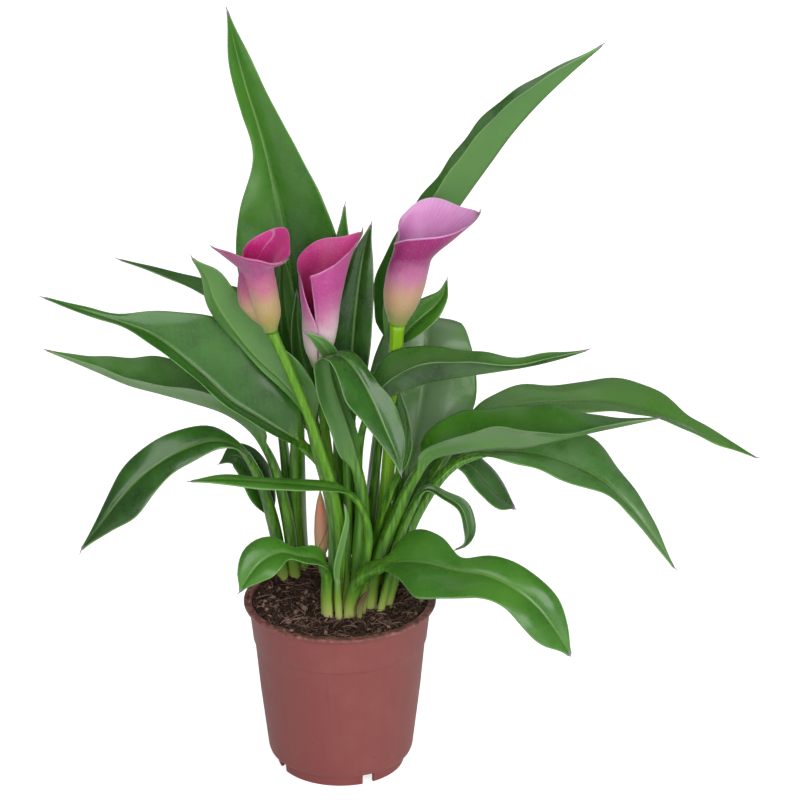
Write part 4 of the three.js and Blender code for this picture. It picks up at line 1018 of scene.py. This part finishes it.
    # Thread at the tip: the section shrinks to a fine hooked hair.
    hook = np.array(leaf["thread"], float)
    k = np.linspace(0, 1, thread_rows + 1)[1:]
    path = points[-1].mean(0) + np.outer(k * (1 - 0.5 * k), way[-1]) * np.linalg.norm(hook) \
        + np.outer(k ** 2 * 0.7, hook)
    thin = 0.42 * (1 - k) + 0.12
    tail = path[:, None, :] + thin[:, None, None] * (
        ar[-1] * np.cos(turn)[..., None] + nr[-1] * (np.sin(turn) * face)[..., None])
    points = np.vstack([points, tail])
    for key, values in marks.items():
        more = np.repeat(values[-1:], thread_rows, 0)
        marks[key] = np.vstack([values, np.ones_like(more) if key == "end" else more])
    rows, count = points.shape[:2]
    return points.reshape(-1, 3), ring_faces(rows, count), marks


# ---- flower --------------------------------------------------------------------------
def flower_frame(flower):
    """The funnel's axis, the way to its tip, the way across and the foot of the funnel."""
    axis = unit(flower["axis"])
    tip = np.array(flower["tip"], float)
    tip = unit(tip - (tip @ axis) * axis)
    return axis, tip, np.cross(axis, tip), np.array(flower["stem"][-1], float)


def spathe_place(flower, u, v, face):
    """Points of the rolled sheet, with their turn and radius: u runs from -1 at one margin
    through the tip to 1 at the other, v from foot to rim, and face is 1 outside."""
    axis, tip, aside, base = flower_frame(flower)
    sides = np.array(flower["wrap"], float)
    throat = np.where(u < 0, sides[0, 0], sides[1, 0])
    mouth = np.where(u < 0, sides[0, 1], sides[1, 1])
    turn = u * np.radians(throat + (mouth - throat) * smooth((v - 0.35) / 0.65))
    station = (u + 1) / 2
    # The rim is drawn out at the tip, and hangs there if the flower has a dip.
    point = 6 * np.exp(-((u / 0.1) ** 2)) * v ** 10
    lip = smooth((v - 0.6) / 0.4)
    hang = np.exp(-((u / 0.2) ** 2)) * lip ** 2 * flower["dip"]
    height = 1.2 + v * along(flower["rim"], station) + point * 0.7 - hang
    swell = flower["bulge"] * np.exp(-(((u - 0.74) / 0.12) ** 2)) \
        * smooth(v / 0.4) * smooth((1.05 - v) / 0.3)
    # The sheet thins towards its rim and its two margins.
    thick = BLADE_THICKNESS / 2 * (1 - 0.85 * smooth((v - 0.8) / 0.2)) \
        * (1 - 0.8 * smooth((np.abs(u) - 0.9) / 0.1))
    thick = np.where((v > 0.9995) | (np.abs(u) > 0.9995), 0.0, thick)
    # The margin rolls outwards over its last few millimetres.
    roll = smooth((v - 0.88) / 0.12) ** 2
    ripple = 0.35 * np.sin(7 * u + 3) * v + 0.25 * np.sin(17 * u + 1) * lip
    radius = along(flower["radii"], v) + along(flower["flare"], station) * lip + point + swell \
        + flower["lap"] * 0.85 * u + face * thick + 0.9 * roll + ripple * smooth(v / 0.4)
    height = height - face * lip * 0.3 - 0.7 * roll
    return (base + axis * height[..., None] + tip * (radius * np.cos(turn))[..., None]
            + aside * (radius * np.sin(turn))[..., None]), turn, radius


def spathe_shell(flower):
    """Rolled sheet of one flower, thin at its rim, with the thread at its tip."""
    across, rows = 70, 46
    over = np.linspace(-1, 1, across * 2 + 1)
    u = np.concatenate([over, over[-2:0:-1]])[None, :]
    face = np.concatenate([np.ones(2 * across + 1), -np.ones(2 * across - 1)])[None, :]
    face = np.where(np.abs(u) > 0.9995, 0.0, face)
    v = np.linspace(0, 1, rows)[:, None] ** 0.9
    u, v = np.broadcast_arrays(u, v)
    face = np.broadcast_to(face, u.shape)
    points, turn, radius = spathe_place(flower, u, v, face)
    rim = along(flower["rim"], (u + 1) / 2)
    girth = np.abs(turn) * radius
    end_girth = np.where(u < 0, girth[:, :1], girth[:, 2 * across:2 * across + 1])
    marks = {
        "up": v, "turn": turn * MIDDLE_RADIUS, "inside": (1 - face) / 2,
        "edge": np.minimum((1 - v) * rim, np.abs(end_girth - girth)),
        "end": smooth((v - 0.97) / 0.03) * np.exp(-(u / 0.03) ** 2),
    }
    shells = [(points.reshape(-1, 3), ring_faces(rows, u.shape[1], closed_ends=False), marks)]
    # Dry hooked thread at the tip of the sheet.
    start = spathe_place(flower, np.array([0.0]), np.array([1.0]), np.array([0.0]))[0][0]
    before = spathe_place(flower, np.array([0.0]), np.array([0.93]), np.array([0.0]))[0][0]
    way, hook = unit(start - before), np.array(flower["thread"], float)
    long = np.linalg.norm(hook)
    k = np.linspace(0, 1, 8)
    line = start - way * 0.8 + np.outer(k * (1 - 0.6 * k), way) * long \
        + np.outer(k ** 2, hook) * 0.75
    shells.append(tube(line, 0.75 * (1 - k) + 0.18, 10, {
        "end": 0.6 + 0.4 * k, "inside": 0 * k, "up": 1 + 0 * k, "turn": 0 * k, "edge": 5 + 0 * k}))
    return joined(shells)


def tube(line, radius, sides, marks=None):
    """Round shell along a line of points; marks are one value for each point."""
    line = np.asarray(line, float)
    radius = np.broadcast_to(np.asarray(radius, float), (len(line),))
    way = unit(np.gradient(line, axis=0))
    guide = np.array([1.0, 0, 0]) if abs(way[0][0]) < 0.8 else np.array([0, 1.0, 0])
    a = unit(guide - (way @ guide)[:, None] * way)
    b = np.cross(way, a)
    turn = np.linspace(0, 2 * math.pi, sides, endpoint=False)
    points = line[:, None, :] + radius[:, None, None] * (
        a[:, None, :] * np.cos(turn)[None, :, None] + b[:, None, :] * np.sin(turn)[None, :, None])
    values = {key: np.repeat(np.asarray(value, float)[:, None], sides, 1)
              for key, value in (marks or {}).items()}
    return points.reshape(-1, 3), ring_faces(len(line), sides), values


def stem_shell(points, radius, neck, bright=0.0):
    """Flower stem: an eighth thicker over its first 40 mm, and swelling by neck over its last
    9 mm into the flower's foot. It has nine faint ribs."""
    spine = Spine(points)
    rows = max(20, round(spine.length / 3))
    u = np.linspace(0, 1, rows)
    line = spine.at(u)
    size = radius * (1 + 0.12 * (1 - smooth(u * spine.length / 40))) \
        + neck * smooth((u * spine.length - spine.length + 9) / 9)
    sides = 28
    points, faces, marks = tube(line, size, sides, {
        "rise": u * spine.length - 8, "bright": bright * smooth((u - 0.35) / 0.5)})
    marks["ribs"] = np.tile(np.linspace(0, 2 * math.pi * 9, sides, endpoint=False), (rows, 1))
    return points, faces, marks


def turned_shell(profile, axis, base, sides, rows, shape, marks):
    """Turned body along an axis, whose radius changes round it by shape."""
    axis = unit(axis)
    guide = np.array([1.0, 0, 0])
    a = unit(guide - (guide @ axis) * axis)
    b = np.cross(axis, a)
    prof = np.array(profile, float)
    run = np.concatenate([[0], np.cumsum(np.linalg.norm(np.diff(prof, axis=0), axis=1))])
    k = np.linspace(0, run[-1], rows)
    z = np.interp(k, run, prof[:, 1])[:, None]
    r = np.interp(k, run, prof[:, 0])
    soft = np.convolve(np.pad(r, 2, mode="edge"), np.ones(5) / 5, "valid")
    soft[:2], soft[-2:] = r[:2], r[-2:]
    turn = np.linspace(0, 2 * math.pi, sides, endpoint=False)[None, :]
    radius = shape(soft[:, None] * np.ones_like(turn), turn, z)
    points = np.array(base, float) + axis * (z * np.ones_like(turn))[..., None] \
        + a * (radius * np.cos(turn))[..., None] + b * (radius * np.sin(turn))[..., None]
    turn, z = np.broadcast_arrays(turn, z)
    values = {"up": (z - z.min()) / (z.max() - z.min()), **marks(turn, z)}
    return points.reshape(-1, 3), ring_faces(rows, sides), values


def florets(turn, z):
    """Height of the crowded florets on the spadix, in a spiral lattice of 1.15 by 1.3 mm."""
    rows = z / 1.15
    row = np.round(rows)
    place = (turn / (2 * math.pi) * 16 + row * 0.5) % 1 - 0.5
    return np.clip(1 - ((rows - row) * 1.9) ** 2 - (place * 1.9) ** 2, 0, 1) ** 0.5


# ---- settings a user would change ----------------------------------------------------
def colour(name, description, code):
    """A colour that a user may change."""
    return bpy.props.FloatVectorProperty(
        name=name, description=description, default=linear(code), subtype="COLOR", size=3,
        min=0, max=1)


class CallaPotSettings(bpy.types.PropertyGroup):
    """Colours, satin and fineness of the pot"""
    body: colour("Body", "Colour of the moulded wall", "854340")
    deep: colour("Flow marks", "Darker colour of the upright flow marks", "7a3b38")
    rubbed: colour("Rubbed", "Paler colour of rubbed and scuffed places", "925650")
    roughness: bpy.props.FloatProperty(
        name="Roughness", description="Satin of the wall", default=0.46, min=0.1, max=1,
        subtype="FACTOR")
    sides: bpy.props.IntProperty(
        name="Sides", description="Faces round the pot", default=168, min=48, max=360)


class CallaPeatSettings(bpy.types.PropertyGroup):
    """Colours of the peat and how much loose matter lies on it"""
    peat_dark: colour("Dark", "Moist dark peat", "17110e")
    peat_mid: colour("Brown", "Brown grains", "5f4437")
    peat_pale: colour("Pale", "Rotted fibre and dry grains", "ad8a7b")
    crumbs: bpy.props.IntProperty(
        name="Crumbs", description="Loose crumbs on the peat", default=1700, min=0, max=6000)
    fibres: bpy.props.IntProperty(
        name="Fibres", description="Loose fibres on the peat", default=1500, min=0, max=3000)


class CallaLeafSettings(bpy.types.PropertyGroup):
    """Colours, sheen and relief of the leaves"""
    # The deep green also serves as the painted shade of leaves that stand in shade.
    upper_deep: colour("Deep", "Upper face of the oldest, darkest blades", "17370d")
    upper_mid: colour("Green", "Upper face of most blades", "326a17")
    upper_fresh: colour("Fresh", "Upper face of young blades", "4c8622")
    under_deep: colour("Underside", "Lower face of dark blades", "3a6830")
    under_fresh: colour("Fresh underside", "Lower face of young blades", "5a8a3c")
    # Painted sheen: the grey of soft reflected light on the blades that face the front.
    painted_sheen: colour("Bloom", "Dusty wax bloom on broad blades", "7a9373")
    midrib: colour("Midrib", "Crest of the midrib", "7fa052")
    vein: colour("Veins", "Side veins and pale cells", "5d8c48")
    margin: colour("Margin", "Clear margin of the blade", "86b06a")
    stalk_deep: colour("Stalk", "Darker streaks of the stalk", "35661a")
    stalk_fresh: colour("Fresh stalk", "Lighter streaks of the stalk", "629a22")
    thread: colour("Thread", "Dry thread at the tip", "847a80")
    roughness: bpy.props.FloatProperty(
        name="Roughness", description="Sheen of the wax on the upper face", default=0.25,
        min=0.1, max=1, subtype="FACTOR")
    relief: bpy.props.FloatProperty(
        name="Relief", description="Depth of the veins and cells", default=0.35 * MM, min=0,
        max=2 * MM, unit="LENGTH")


def flower_settings(title, codes):
    """Settings class for one flower: its colours from the foot to the lip, then inside."""
    labels = {
        "foot": "Green foot above the stem", "low": "Lowest part of the outside",
        "cream": "Cream part of the outside", "blush": "Blush above the cream",
        "band": "Strong band under the rim", "lip": "Outside at the rim",
        "throat": "Inside, deep in the throat", "inner_deep": "Inside, half way up",
        "inner": "Inside at the mouth", "inner_pale": "Paler clouds inside",
        "vein": "Hair-thin length veins", "hem": "Thin pale hem",
    }
    notes = {key: colour(key.replace("_", " ").title(), labels[key], code)
             for key, code in codes.items()}
    return type(title, (bpy.types.PropertyGroup,), {"__annotations__": notes})


CallaLeftFlower = flower_settings("CallaLeftFlower", {
    "foot": "7d9035", "low": "a0904d", "cream": "b1986e", "blush": "b66481", "band": "a54c82",
    "lip": "a3227a", "throat": "9a1450", "inner_deep": "c01872", "inner": "e02f94",
    "inner_pale": "ee68b0", "vein": "a8457c", "hem": "e7b6cf"})
CallaMiddleFlower = flower_settings("CallaMiddleFlower", {
    "foot": "a9ad6c", "low": "dcd0c4", "cream": "d9bfc6", "blush": "be739b", "band": "af4187",
    "lip": "b34489", "throat": "8d1348", "inner_deep": "b42068", "inner": "d64291",
    "inner_pale": "cf6aa0", "vein": "9a2f72", "hem": "e3a9cd"})
CallaRightFlower = flower_settings("CallaRightFlower", {
    "foot": "83943e", "low": "a69762", "cream": "bc9776", "blush": "b66c96", "band": "8a1a60",
    "lip": "981f6c", "throat": "b0568f", "inner_deep": "cc78b8", "inner": "de9ad0",
    "inner_pale": "e6b4dc", "vein": "b45a9c", "hem": "e8bfe0"})


class CallaStemSettings(bpy.types.PropertyGroup):
    """Colours of the flower stems and the spadices"""
    stem_deep: colour("Stem", "Darker streaks of the stem", "4c8118")
    stem_fresh: colour("Fresh stem", "Lighter streaks of the stem", "6a9f24")
    stem_bright: colour("Bright stem", "Top of the thickest stem", "86b80f")
    spadix: colour("Spadix", "Crowns of the florets", "dcae3a")
    spadix_gap: colour("Spadix gaps", "Gaps between the florets", "8a7a34")


class CallaStudioSettings(bpy.types.PropertyGroup):
    """Paper and lights"""
    floor: colour("Floor", "Seamless paper", "f6f6f5")
    glow: bpy.props.FloatProperty(
        name="Paper glow", description="How bright the paper looks by its own lights",
        default=0.62, min=0, max=3)
    dome: bpy.props.FloatProperty(
        name="Room light", description="Even light from all round", default=0.22, min=0, max=5)
    key: bpy.props.FloatProperty(
        name="Key light", description="Large soft light, in front", default=36, min=0, max=500,
        unit="POWER")
    fill: bpy.props.FloatProperty(
        name="Fill light", description="Soft light from the right", default=26, min=0, max=500,
        unit="POWER")
    top: bpy.props.FloatProperty(
        name="Top light", description="Soft light from above", default=3, min=0, max=500,
        unit="POWER")
    back: bpy.props.FloatProperty(
        name="Back light", description="Soft low light from behind", default=18, min=0, max=500,
        unit="POWER")


# ---- operators -----------------------------------------------------------------------
class CALLA_OT_pot(bpy.types.Operator):
    """Build the moulded nursery pot with its stacking step, foot slots and drain holes"""
    bl_idname = "calla.pot"
    bl_label = "Pot"

    def execute(self, context):
        looks = context.scene.calla_pot
        # Every corner of the profile is eased over a few tenths of a millimetre, and long runs
        # are divided so that the wall shades evenly.
        prof = []
        for k, p in enumerate(np.array(POT_PROFILE, float)):
            if k in (0, len(POT_PROFILE) - 1):
                prof.append(p)
                continue
            back, ahead = np.array(POT_PROFILE[k - 1]) - p, np.array(POT_PROFILE[k + 1]) - p
            ease = min(0.45, 0.35 * np.linalg.norm(back), 0.35 * np.linalg.norm(ahead))
            b, a = p + unit(back) * ease, p + unit(ahead) * ease
            prof += [b, 0.25 * b + 0.5 * p + 0.25 * a, a]
        fine = []
        for p, q in zip(prof, prof[1:]):
            pieces = max(1, round(np.linalg.norm(q - p) / 9))
            fine += [p + (q - p) * i / pieces for i in range(pieces)]
        fine = np.array(fine + [prof[-1]])
        sides = looks.sides
        turn = np.linspace(0, 2 * math.pi, sides, endpoint=False)
        ring = fine[1:-1]
        points = np.stack([ring[:, :1] * np.cos(turn), ring[:, :1] * np.sin(turn),
                           ring[:, 1:] * np.ones(sides)], -1).reshape(-1, 3)
        faces = ring_faces(len(ring), sides, closed_ends=False)
        base = len(points)
        points = np.vstack([points, [[0, 0, fine[0][1]], [0, 0, fine[-1][1]]]])
        top = (len(ring) - 1) * sides
        for j in range(sides):
            k = (j + 1) % sides
            faces.append((k, j, base))
            faces.append((top + j, top + k, base + 1))
        pot = mesh_piece("nursery_pot", points, faces)
        # Slots through the foot, where pots lock when they are stacked, and drain holes.
        cutters = [self.slot_cutter(angle) for angle in SLOT_ANGLES]
        for k in range(DRAIN_COUNT):
            a = math.radians(30 + 360 / DRAIN_COUNT * k)
            x, y = DRAIN_RING * math.cos(a), DRAIN_RING * math.sin(a)
            line = [(x, y, FOOT_HEIGHT - 1.5), (x, y, FOOT_HEIGHT + 3)]
            p, f, _ = tube(line, DRAIN_RADIUS, 32)
            cutters.append(mesh_piece(f"drain_cut_{k}", p, f))
        for cutter in cutters:
            clean(cutter)
            cut = pot.modifiers.new(cutter.name, "BOOLEAN")
            cut.operation, cut.solver, cut.object = "DIFFERENCE", "EXACT", cutter
        clean(pot)
        context.view_layer.update()
        shaped = bpy.data.meshes.new_from_object(
            pot.evaluated_get(context.evaluated_depsgraph_get()))
        pot.modifiers.clear()
        pot.data = shaped
        for cutter in cutters:
            bpy.data.objects.remove(cutter)
        if len(pot.data.vertices) < 1000:
            raise RuntimeError("the pot was lost while its slots were cut")
        pot.data.polygons.foreach_set("use_smooth", [True] * len(pot.data.polygons))
        pot.data.set_sharp_from_angle(angle=math.radians(50))
        finish_piece(pot, "pot", moulded_polypropylene("moulded_polypropylene", looks))
        return {"FINISHED"}

    def slot_cutter(self, angle):
        """Block that cuts one slot through the foot and the wall above it"""
        a = math.radians(angle)
        out = np.array([math.cos(a), math.sin(a), 0])
        side = np.array([-math.sin(a), math.cos(a), 0])
        corners = []
        for z in (-1, FOOT_HEIGHT + SLOT_RISE):
            for r, s in ((-4, -1), (6, -1), (6, 1), (-4, 1)):
                corners.append(out * (FOOT_RADIUS + r) + side * s * SLOT_WIDTH / 2
                               + np.array([0, 0, z]))
        faces = [(0, 3, 2, 1), (4, 5, 6, 7)]
        faces += [(i, (i + 1) % 4, 4 + (i + 1) % 4, 4 + i) for i in range(4)]
        return mesh_piece(f"slot_cut_{angle}", corners, faces)


class CALLA_OT_peat(bpy.types.Operator):
    """Build the uneven peat with its loose crumbs and fibres"""
    bl_idname = "calla.peat"
    bl_label = "Peat"

    def execute(self, context):
        looks = context.scene.calla_peat
        finish = milled_peat("milled_peat", looks)
        rng = np.random.default_rng(7)
        waves = [(rng.uniform(0.05, 0.9), rng.uniform(0, 2 * math.pi),
                  rng.uniform(0, 2 * math.pi)) for _ in range(40)]

        def lie(x, y):
            """Height of the peat at a place, in millimetres."""
            r = np.hypot(x, y)
            z = np.interp(r, [p[0] for p in PEAT_TOP], [p[1] for p in PEAT_TOP])
            for pace, way, phase in waves:
                z = z + 0.16 / (0.35 + pace) * np.sin(
                    pace * (x * math.cos(way) + y * math.sin(way)) + phase)
            # It lies almost level with the rim and is heaped round the shoot at the back left.
            heap = 11.5 * np.exp(-(((x + 23) / 19) ** 2) - ((y - 36) / 16) ** 2) \
                * (1 - smooth((r - 46) / 8))
            return z + 0.6 + 3.2 * smooth((r - 30) / 24) + heap

        rings, sides = 80, 200
        r = np.linspace(0.3, 1, rings)[:, None] ** 0.8 * PEAT_RADIUS
        r[0] = 0.05
        a = np.linspace(0, 2 * math.pi, sides, endpoint=False)[None, :]
        x, y = r * np.cos(a), r * np.sin(a)
        z = lie(x, y)
        top = np.stack([x, y, z], -1)
        skirt = top[-1:].copy()
        skirt[..., 2] = PEAT_SKIRT
        points = np.vstack([top, skirt]).reshape(-1, 3)
        shade = 0.25 * np.sin(points[:, 0] * 3) * np.sin(points[:, 1] * 2.7) + 0.2
        bed = mesh_piece("peat_bed", points, ring_faces(rings + 1, sides), {"shade": shade})
        clean(bed)
        finish_piece(bed, None, finish)
        # The frame's own soil lies under the peat and takes the same finish.
        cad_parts["soil"].data.materials.clear()
        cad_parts["soil"].data.materials.append(finish)

        # Crumbs: pitted lumps 0.8 to 4 mm across, no two alike.
        ball = bmesh.new()
        bmesh.ops.create_icosphere(ball, subdivisions=2, radius=1)
        shell = np.array([v.co for v in ball.verts])
        shell_faces = [tuple(v.index for v in f.verts) for f in ball.faces]
        ball.free()
        parts = []
        for k in range(looks.crumbs):
            far, way = CRUMB_RADIUS * math.sqrt(rng.uniform(0.0, 1)), rng.uniform(0, 2 * math.pi)
            x, y = far * math.cos(way), far * math.sin(way)
            size = 0.4 + 1.5 * rng.uniform() ** 2.2
            z = float(lie(x, y)) + size * rng.uniform(-0.2, 0.5)
            if k % 150 == 0:  # a few lie on the rim, mostly to the front left
                way = rng.uniform(math.radians(165), math.radians(250))
                x, y = RIM_MIDDLE * math.cos(way), RIM_MIDDLE * math.sin(way)
                z = POT_HEIGHT + 0.3
                size = 0.35 + 0.5 * rng.uniform()
            stretch = rng.uniform(0.6, 1.3, 3)
            pits = np.sin(shell @ rng.uniform(-4, 4, (3, 3))).sum(1, keepdims=True)
            lump = shell * (1 + 0.25 * pits / 2)
            parts.append((lump * stretch * size + [x, y, z], shell_faces,
                          {"shade": np.full(len(shell), rng.uniform() ** 1.6)}))
        points, faces, marks = joined(parts)
        finish_piece(mesh_piece("peat_crumbs", points, faces, marks), None, finish)

        # Fibres: bent rootlets and sphagnum stems, 4 to 15 mm long.
        parts = []
        for _ in range(looks.fibres):
            far, way = FIBRE_RADIUS * math.sqrt(rng.uniform(0.02, 1)), rng.uniform(0, 2 * math.pi)
            x, y = far * math.cos(way), far * math.sin(way)
            heading, lift = rng.uniform(0, 2 * math.pi), rng.uniform(-0.1, 0.55)
            bend, long = rng.uniform(-1.6, 1.6), rng.uniform(4, 15)
            line, here = [], np.array([x, y, float(lie(x, y)) + 0.3])
            steps = 9
            for i in range(steps):
                line.append(here.copy())
                tilt = lift * (1 - 2 * i / steps)
                step = long / steps
                here += step * np.array([math.cos(heading) * math.cos(tilt),
                                         math.sin(heading) * math.cos(tilt), math.sin(tilt)])
                heading += bend / steps + rng.uniform(-0.25, 0.25)
                here[:2] *= min(1, (PEAT_RADIUS - 0.2) / max(1e-6, math.hypot(here[0], here[1])))
                here[2] = max(here[2], float(lie(here[0], here[1])) + 0.05)
            thick = rng.uniform(0.12, 0.34)
            parts.append(tube(line, thick * np.linspace(1, 0.4, steps), 5,
                              {"shade": np.full(steps, 0.35 + 0.75 * rng.uniform())}))
        points, faces, marks = joined(parts)
        finish_piece(mesh_piece("peat_fibres", points, faces, marks), None, finish)
        return {"FINISHED"}


class CALLA_OT_leaves(bpy.types.Operator):
    """Build every leaf from its stalk to the thread at its tip, and the papery sheath"""
    bl_idname = "calla.leaves"
    bl_label = "Leaves"

    def execute(self, context):
        cuticle = leaf_cuticle("leaf_cuticle", context.scene.calla_leaf)
        sheath = sheath_skin("papery_sheath")
        for count, (node, leaf) in enumerate(LEAVES.items()):
            points, faces, marks = leaf_shell(leaf, count * 1.7)
            piece = clean(mesh_piece(node + "_blade", points, faces, marks))
            if node.startswith("sheath"):
                finish_piece(piece, node, sheath)
            else:
                finish_piece(piece, node, cuticle)
        return {"FINISHED"}


class CALLA_OT_flowers(bpy.types.Operator):
    """Build the three open flowers: stem, rolled sheet and spadix"""
    bl_idname = "calla.flowers"
    bl_label = "Open flowers"

    def execute(self, context):
        scene = context.scene
        stems = stem_skin("succulent_stem", scene.calla_stem)
        pollen = spadix_florets("spadix_florets", scene.calla_stem)
        for name, flower in FLOWERS.items():
            bright = 1.0 if name == "right" else 0.0
            points, faces, marks = stem_shell(flower["stem"], flower["radius"], 0.5, bright)
            finish_piece(clean(mesh_piece(f"{name}_stem", points, faces, marks)),
                         f"flower_stem_{name}", stems)
            points, faces, marks = spathe_shell(flower)
            sheet = clean(mesh_piece(f"{name}_spathe", points, faces, marks))
            looks = getattr(scene, f"calla_{name}_flower")
            finish_piece(sheet, f"spathe_{name}",
                         spathe_velvet(f"spathe_velvet_{name}", looks))
            axis, _, _, base = flower_frame(flower)
            points, faces, marks = turned_shell(
                SPADIX_PROFILE, axis, base, 144, 120,
                lambda r, turn, z: r * (0.9 + 0.14 * florets(turn, z)),
                lambda turn, z: {"crown": florets(turn, z)})
            finish_piece(clean(mesh_piece(f"{name}_spadix", points, faces, marks)),
                         f"spadix_{name}", pollen)
        return {"FINISHED"}


class CALLA_OT_bud(bpy.types.Operator):
    """Build the closed bud, rolled like a scroll on its short stem"""
    bl_idname = "calla.bud"
    bl_label = "Bud"

    def execute(self, context):
        points, faces, marks = stem_shell(BUD_STEM, BUD_STEM_RADIUS, 0.3)
        finish_piece(clean(mesh_piece("bud_stem", points, faces, marks)), "flower_stem_bud",
                     bpy.data.materials["succulent_stem"])

        def seam(turn, z):
            """Where the outer edge of the scroll lies: a line that climbs round the bud."""
            return (turn / (2 * math.pi) - z / 62 - 0.55) % 1

        def scroll(radius, turn, z):
            """Radius that grows along each turn and steps back at the outer edge."""
            lap = seam(turn, z)
            step = np.where(lap < 0.04, lap / 0.04, 1 - (lap - 0.04) / 0.96)
            return radius * (0.96 + 0.1 * step * smooth((z - 3) / 8))

        points, faces, marks = turned_shell(
            BUD_PROFILE, BUD_AXIS, BUD_STEM[-1], 96, 80, scroll,
            lambda turn, z: {"seam": 0.8 * np.exp(-((seam(turn, z) - 0.02) / 0.02) ** 2)})
        finish_piece(clean(mesh_piece("rolled_bud", points, faces, marks)), "flower_bud",
                     bud_skin("rolled_bud_tissue"))
        return {"FINISHED"}


class CALLA_OT_studio(bpy.types.Operator):
    """Build the white paper floor, the soft lights and the camera"""
    bl_idname = "calla.studio"
    bl_label = "Studio"

    def execute(self, context):
        looks = context.scene.calla_studio
        paper = studio_paper("seamless_paper", looks)
        far = PAPER_REACH
        corners = [(-far, -far, 0), (far, -far, 0), (far, far, 0), (-far, far, 0)]
        floor = mesh_piece("paper_floor", corners, [(0, 1, 2, 3)])
        floor.data.materials.append(paper)

        # The room is white to the eye and gives the plant only an even, weaker light.
        world = bpy.data.worlds.new("soft_room")
        world.use_nodes = True
        tree = world.node_tree
        tree.nodes.clear()
        seen = add_node(tree, "LightPath", out="Is Camera Ray")
        strength = add_node(tree, "Math", [seen, looks.dome], operation="MAXIMUM")
        glow = add_node(tree, "Background", {"Color": (1, 1, 1), "Strength": strength})
        add_node(tree, "OutputWorld", {"Surface": glow})
        context.scene.world = world

        low, high = FRAME_BOX
        middle = (low + high) / 2
        for name, place, size, power in (
                ("key_softbox", (-0.45, -2.3, 1.25), 1.9, looks.key),
                ("fill_softbox", (1.6, -1.7, 0.8), 1.4, looks.fill),
                ("top_softbox", (-0.1, 0.6, 1.9), 1.2, looks.top),
                ("back_softbox", (1.0, 2.2, 0.7), 1.4, looks.back)):
            lamp = bpy.data.lights.new(name, "AREA")
            lamp.shape, lamp.size, lamp.size_y, lamp.energy = "RECTANGLE", size, size, power
            holder = bpy.data.objects.new(name, lamp)
            holder.location = place
            holder.visible_camera = False
            holder.visible_glossy = name != "back_softbox"  # no glare along the leaf edges
            holder.rotation_euler = (middle - Vector(place)).to_track_quat("-Z", "Y").to_euler()
            context.scene.collection.objects.link(holder)

        camera = bpy.data.cameras.new("camera")
        camera.lens, camera.sensor_width = CAMERA_LENS, CAMERA_SENSOR
        camera.clip_start, camera.clip_end = 0.05, 30
        eye = bpy.data.objects.new("camera", camera)
        aim, tilt = Vector(CAMERA_AIM), math.radians(CAMERA_TILT)
        eye.location = aim + CAMERA_DISTANCE * Vector((0, -math.cos(tilt), math.sin(tilt)))
        eye.rotation_euler = (aim - eye.location).to_track_quat("-Z", "Y").to_euler()
        context.scene.collection.objects.link(eye)
        context.scene.camera = eye
        return {"FINISHED"}


class CALLA_PT_panel(bpy.types.Panel):
    """Lists the pieces of the potted calla lily"""
    bl_idname = "CALLA_PT_panel"
    bl_label = "Potted calla lily"
    bl_space_type = "VIEW_3D"
    bl_region_type = "UI"
    bl_category = "Calla"

    def draw(self, context):
        for operator, groups in PIECES.items():
            box = self.layout.box()
            box.operator(operator)
            for group in groups:
                settings = getattr(context.scene, group)
                for key in settings.bl_rna.properties.keys():
                    if key not in ("rna_type", "name"):
                        box.prop(settings, key)


SETTINGS = {
    "calla_pot": CallaPotSettings, "calla_peat": CallaPeatSettings,
    "calla_leaf": CallaLeafSettings, "calla_left_flower": CallaLeftFlower,
    "calla_middle_flower": CallaMiddleFlower, "calla_right_flower": CallaRightFlower,
    "calla_stem": CallaStemSettings, "calla_studio": CallaStudioSettings,
}
# Operators in the order in which they run, each with the settings that the panel lists under it.
PIECES = {
    "calla.pot": ["calla_pot"],
    "calla.peat": ["calla_peat"],
    "calla.leaves": ["calla_leaf"],
    "calla.flowers": [
        "calla_stem", "calla_left_flower", "calla_middle_flower", "calla_right_flower"],
    "calla.bud": [],
    "calla.studio": ["calla_studio"],
}
CLASSES = [CALLA_OT_pot, CALLA_OT_peat, CALLA_OT_leaves, CALLA_OT_flowers, CALLA_OT_bud,
           CALLA_OT_studio, CALLA_PT_panel]


def register():
    for key, kind in SETTINGS.items():
        bpy.utils.register_class(kind)
        setattr(bpy.types.Scene, key, bpy.props.PointerProperty(type=kind))
    for kind in CLASSES:
        bpy.utils.register_class(kind)


def unregister():
    for kind in reversed(CLASSES):
        bpy.utils.unregister_class(kind)
    for key, kind in SETTINGS.items():
        delattr(bpy.types.Scene, key)
        bpy.utils.unregister_class(kind)


def main():
    register()
    bpy.context.scene.view_settings.view_transform = "Standard"
    for operator in PIECES:
        group, name = operator.split(".")
        getattr(getattr(bpy.ops, group), name)()


if __name__ == "__main__":
    main()
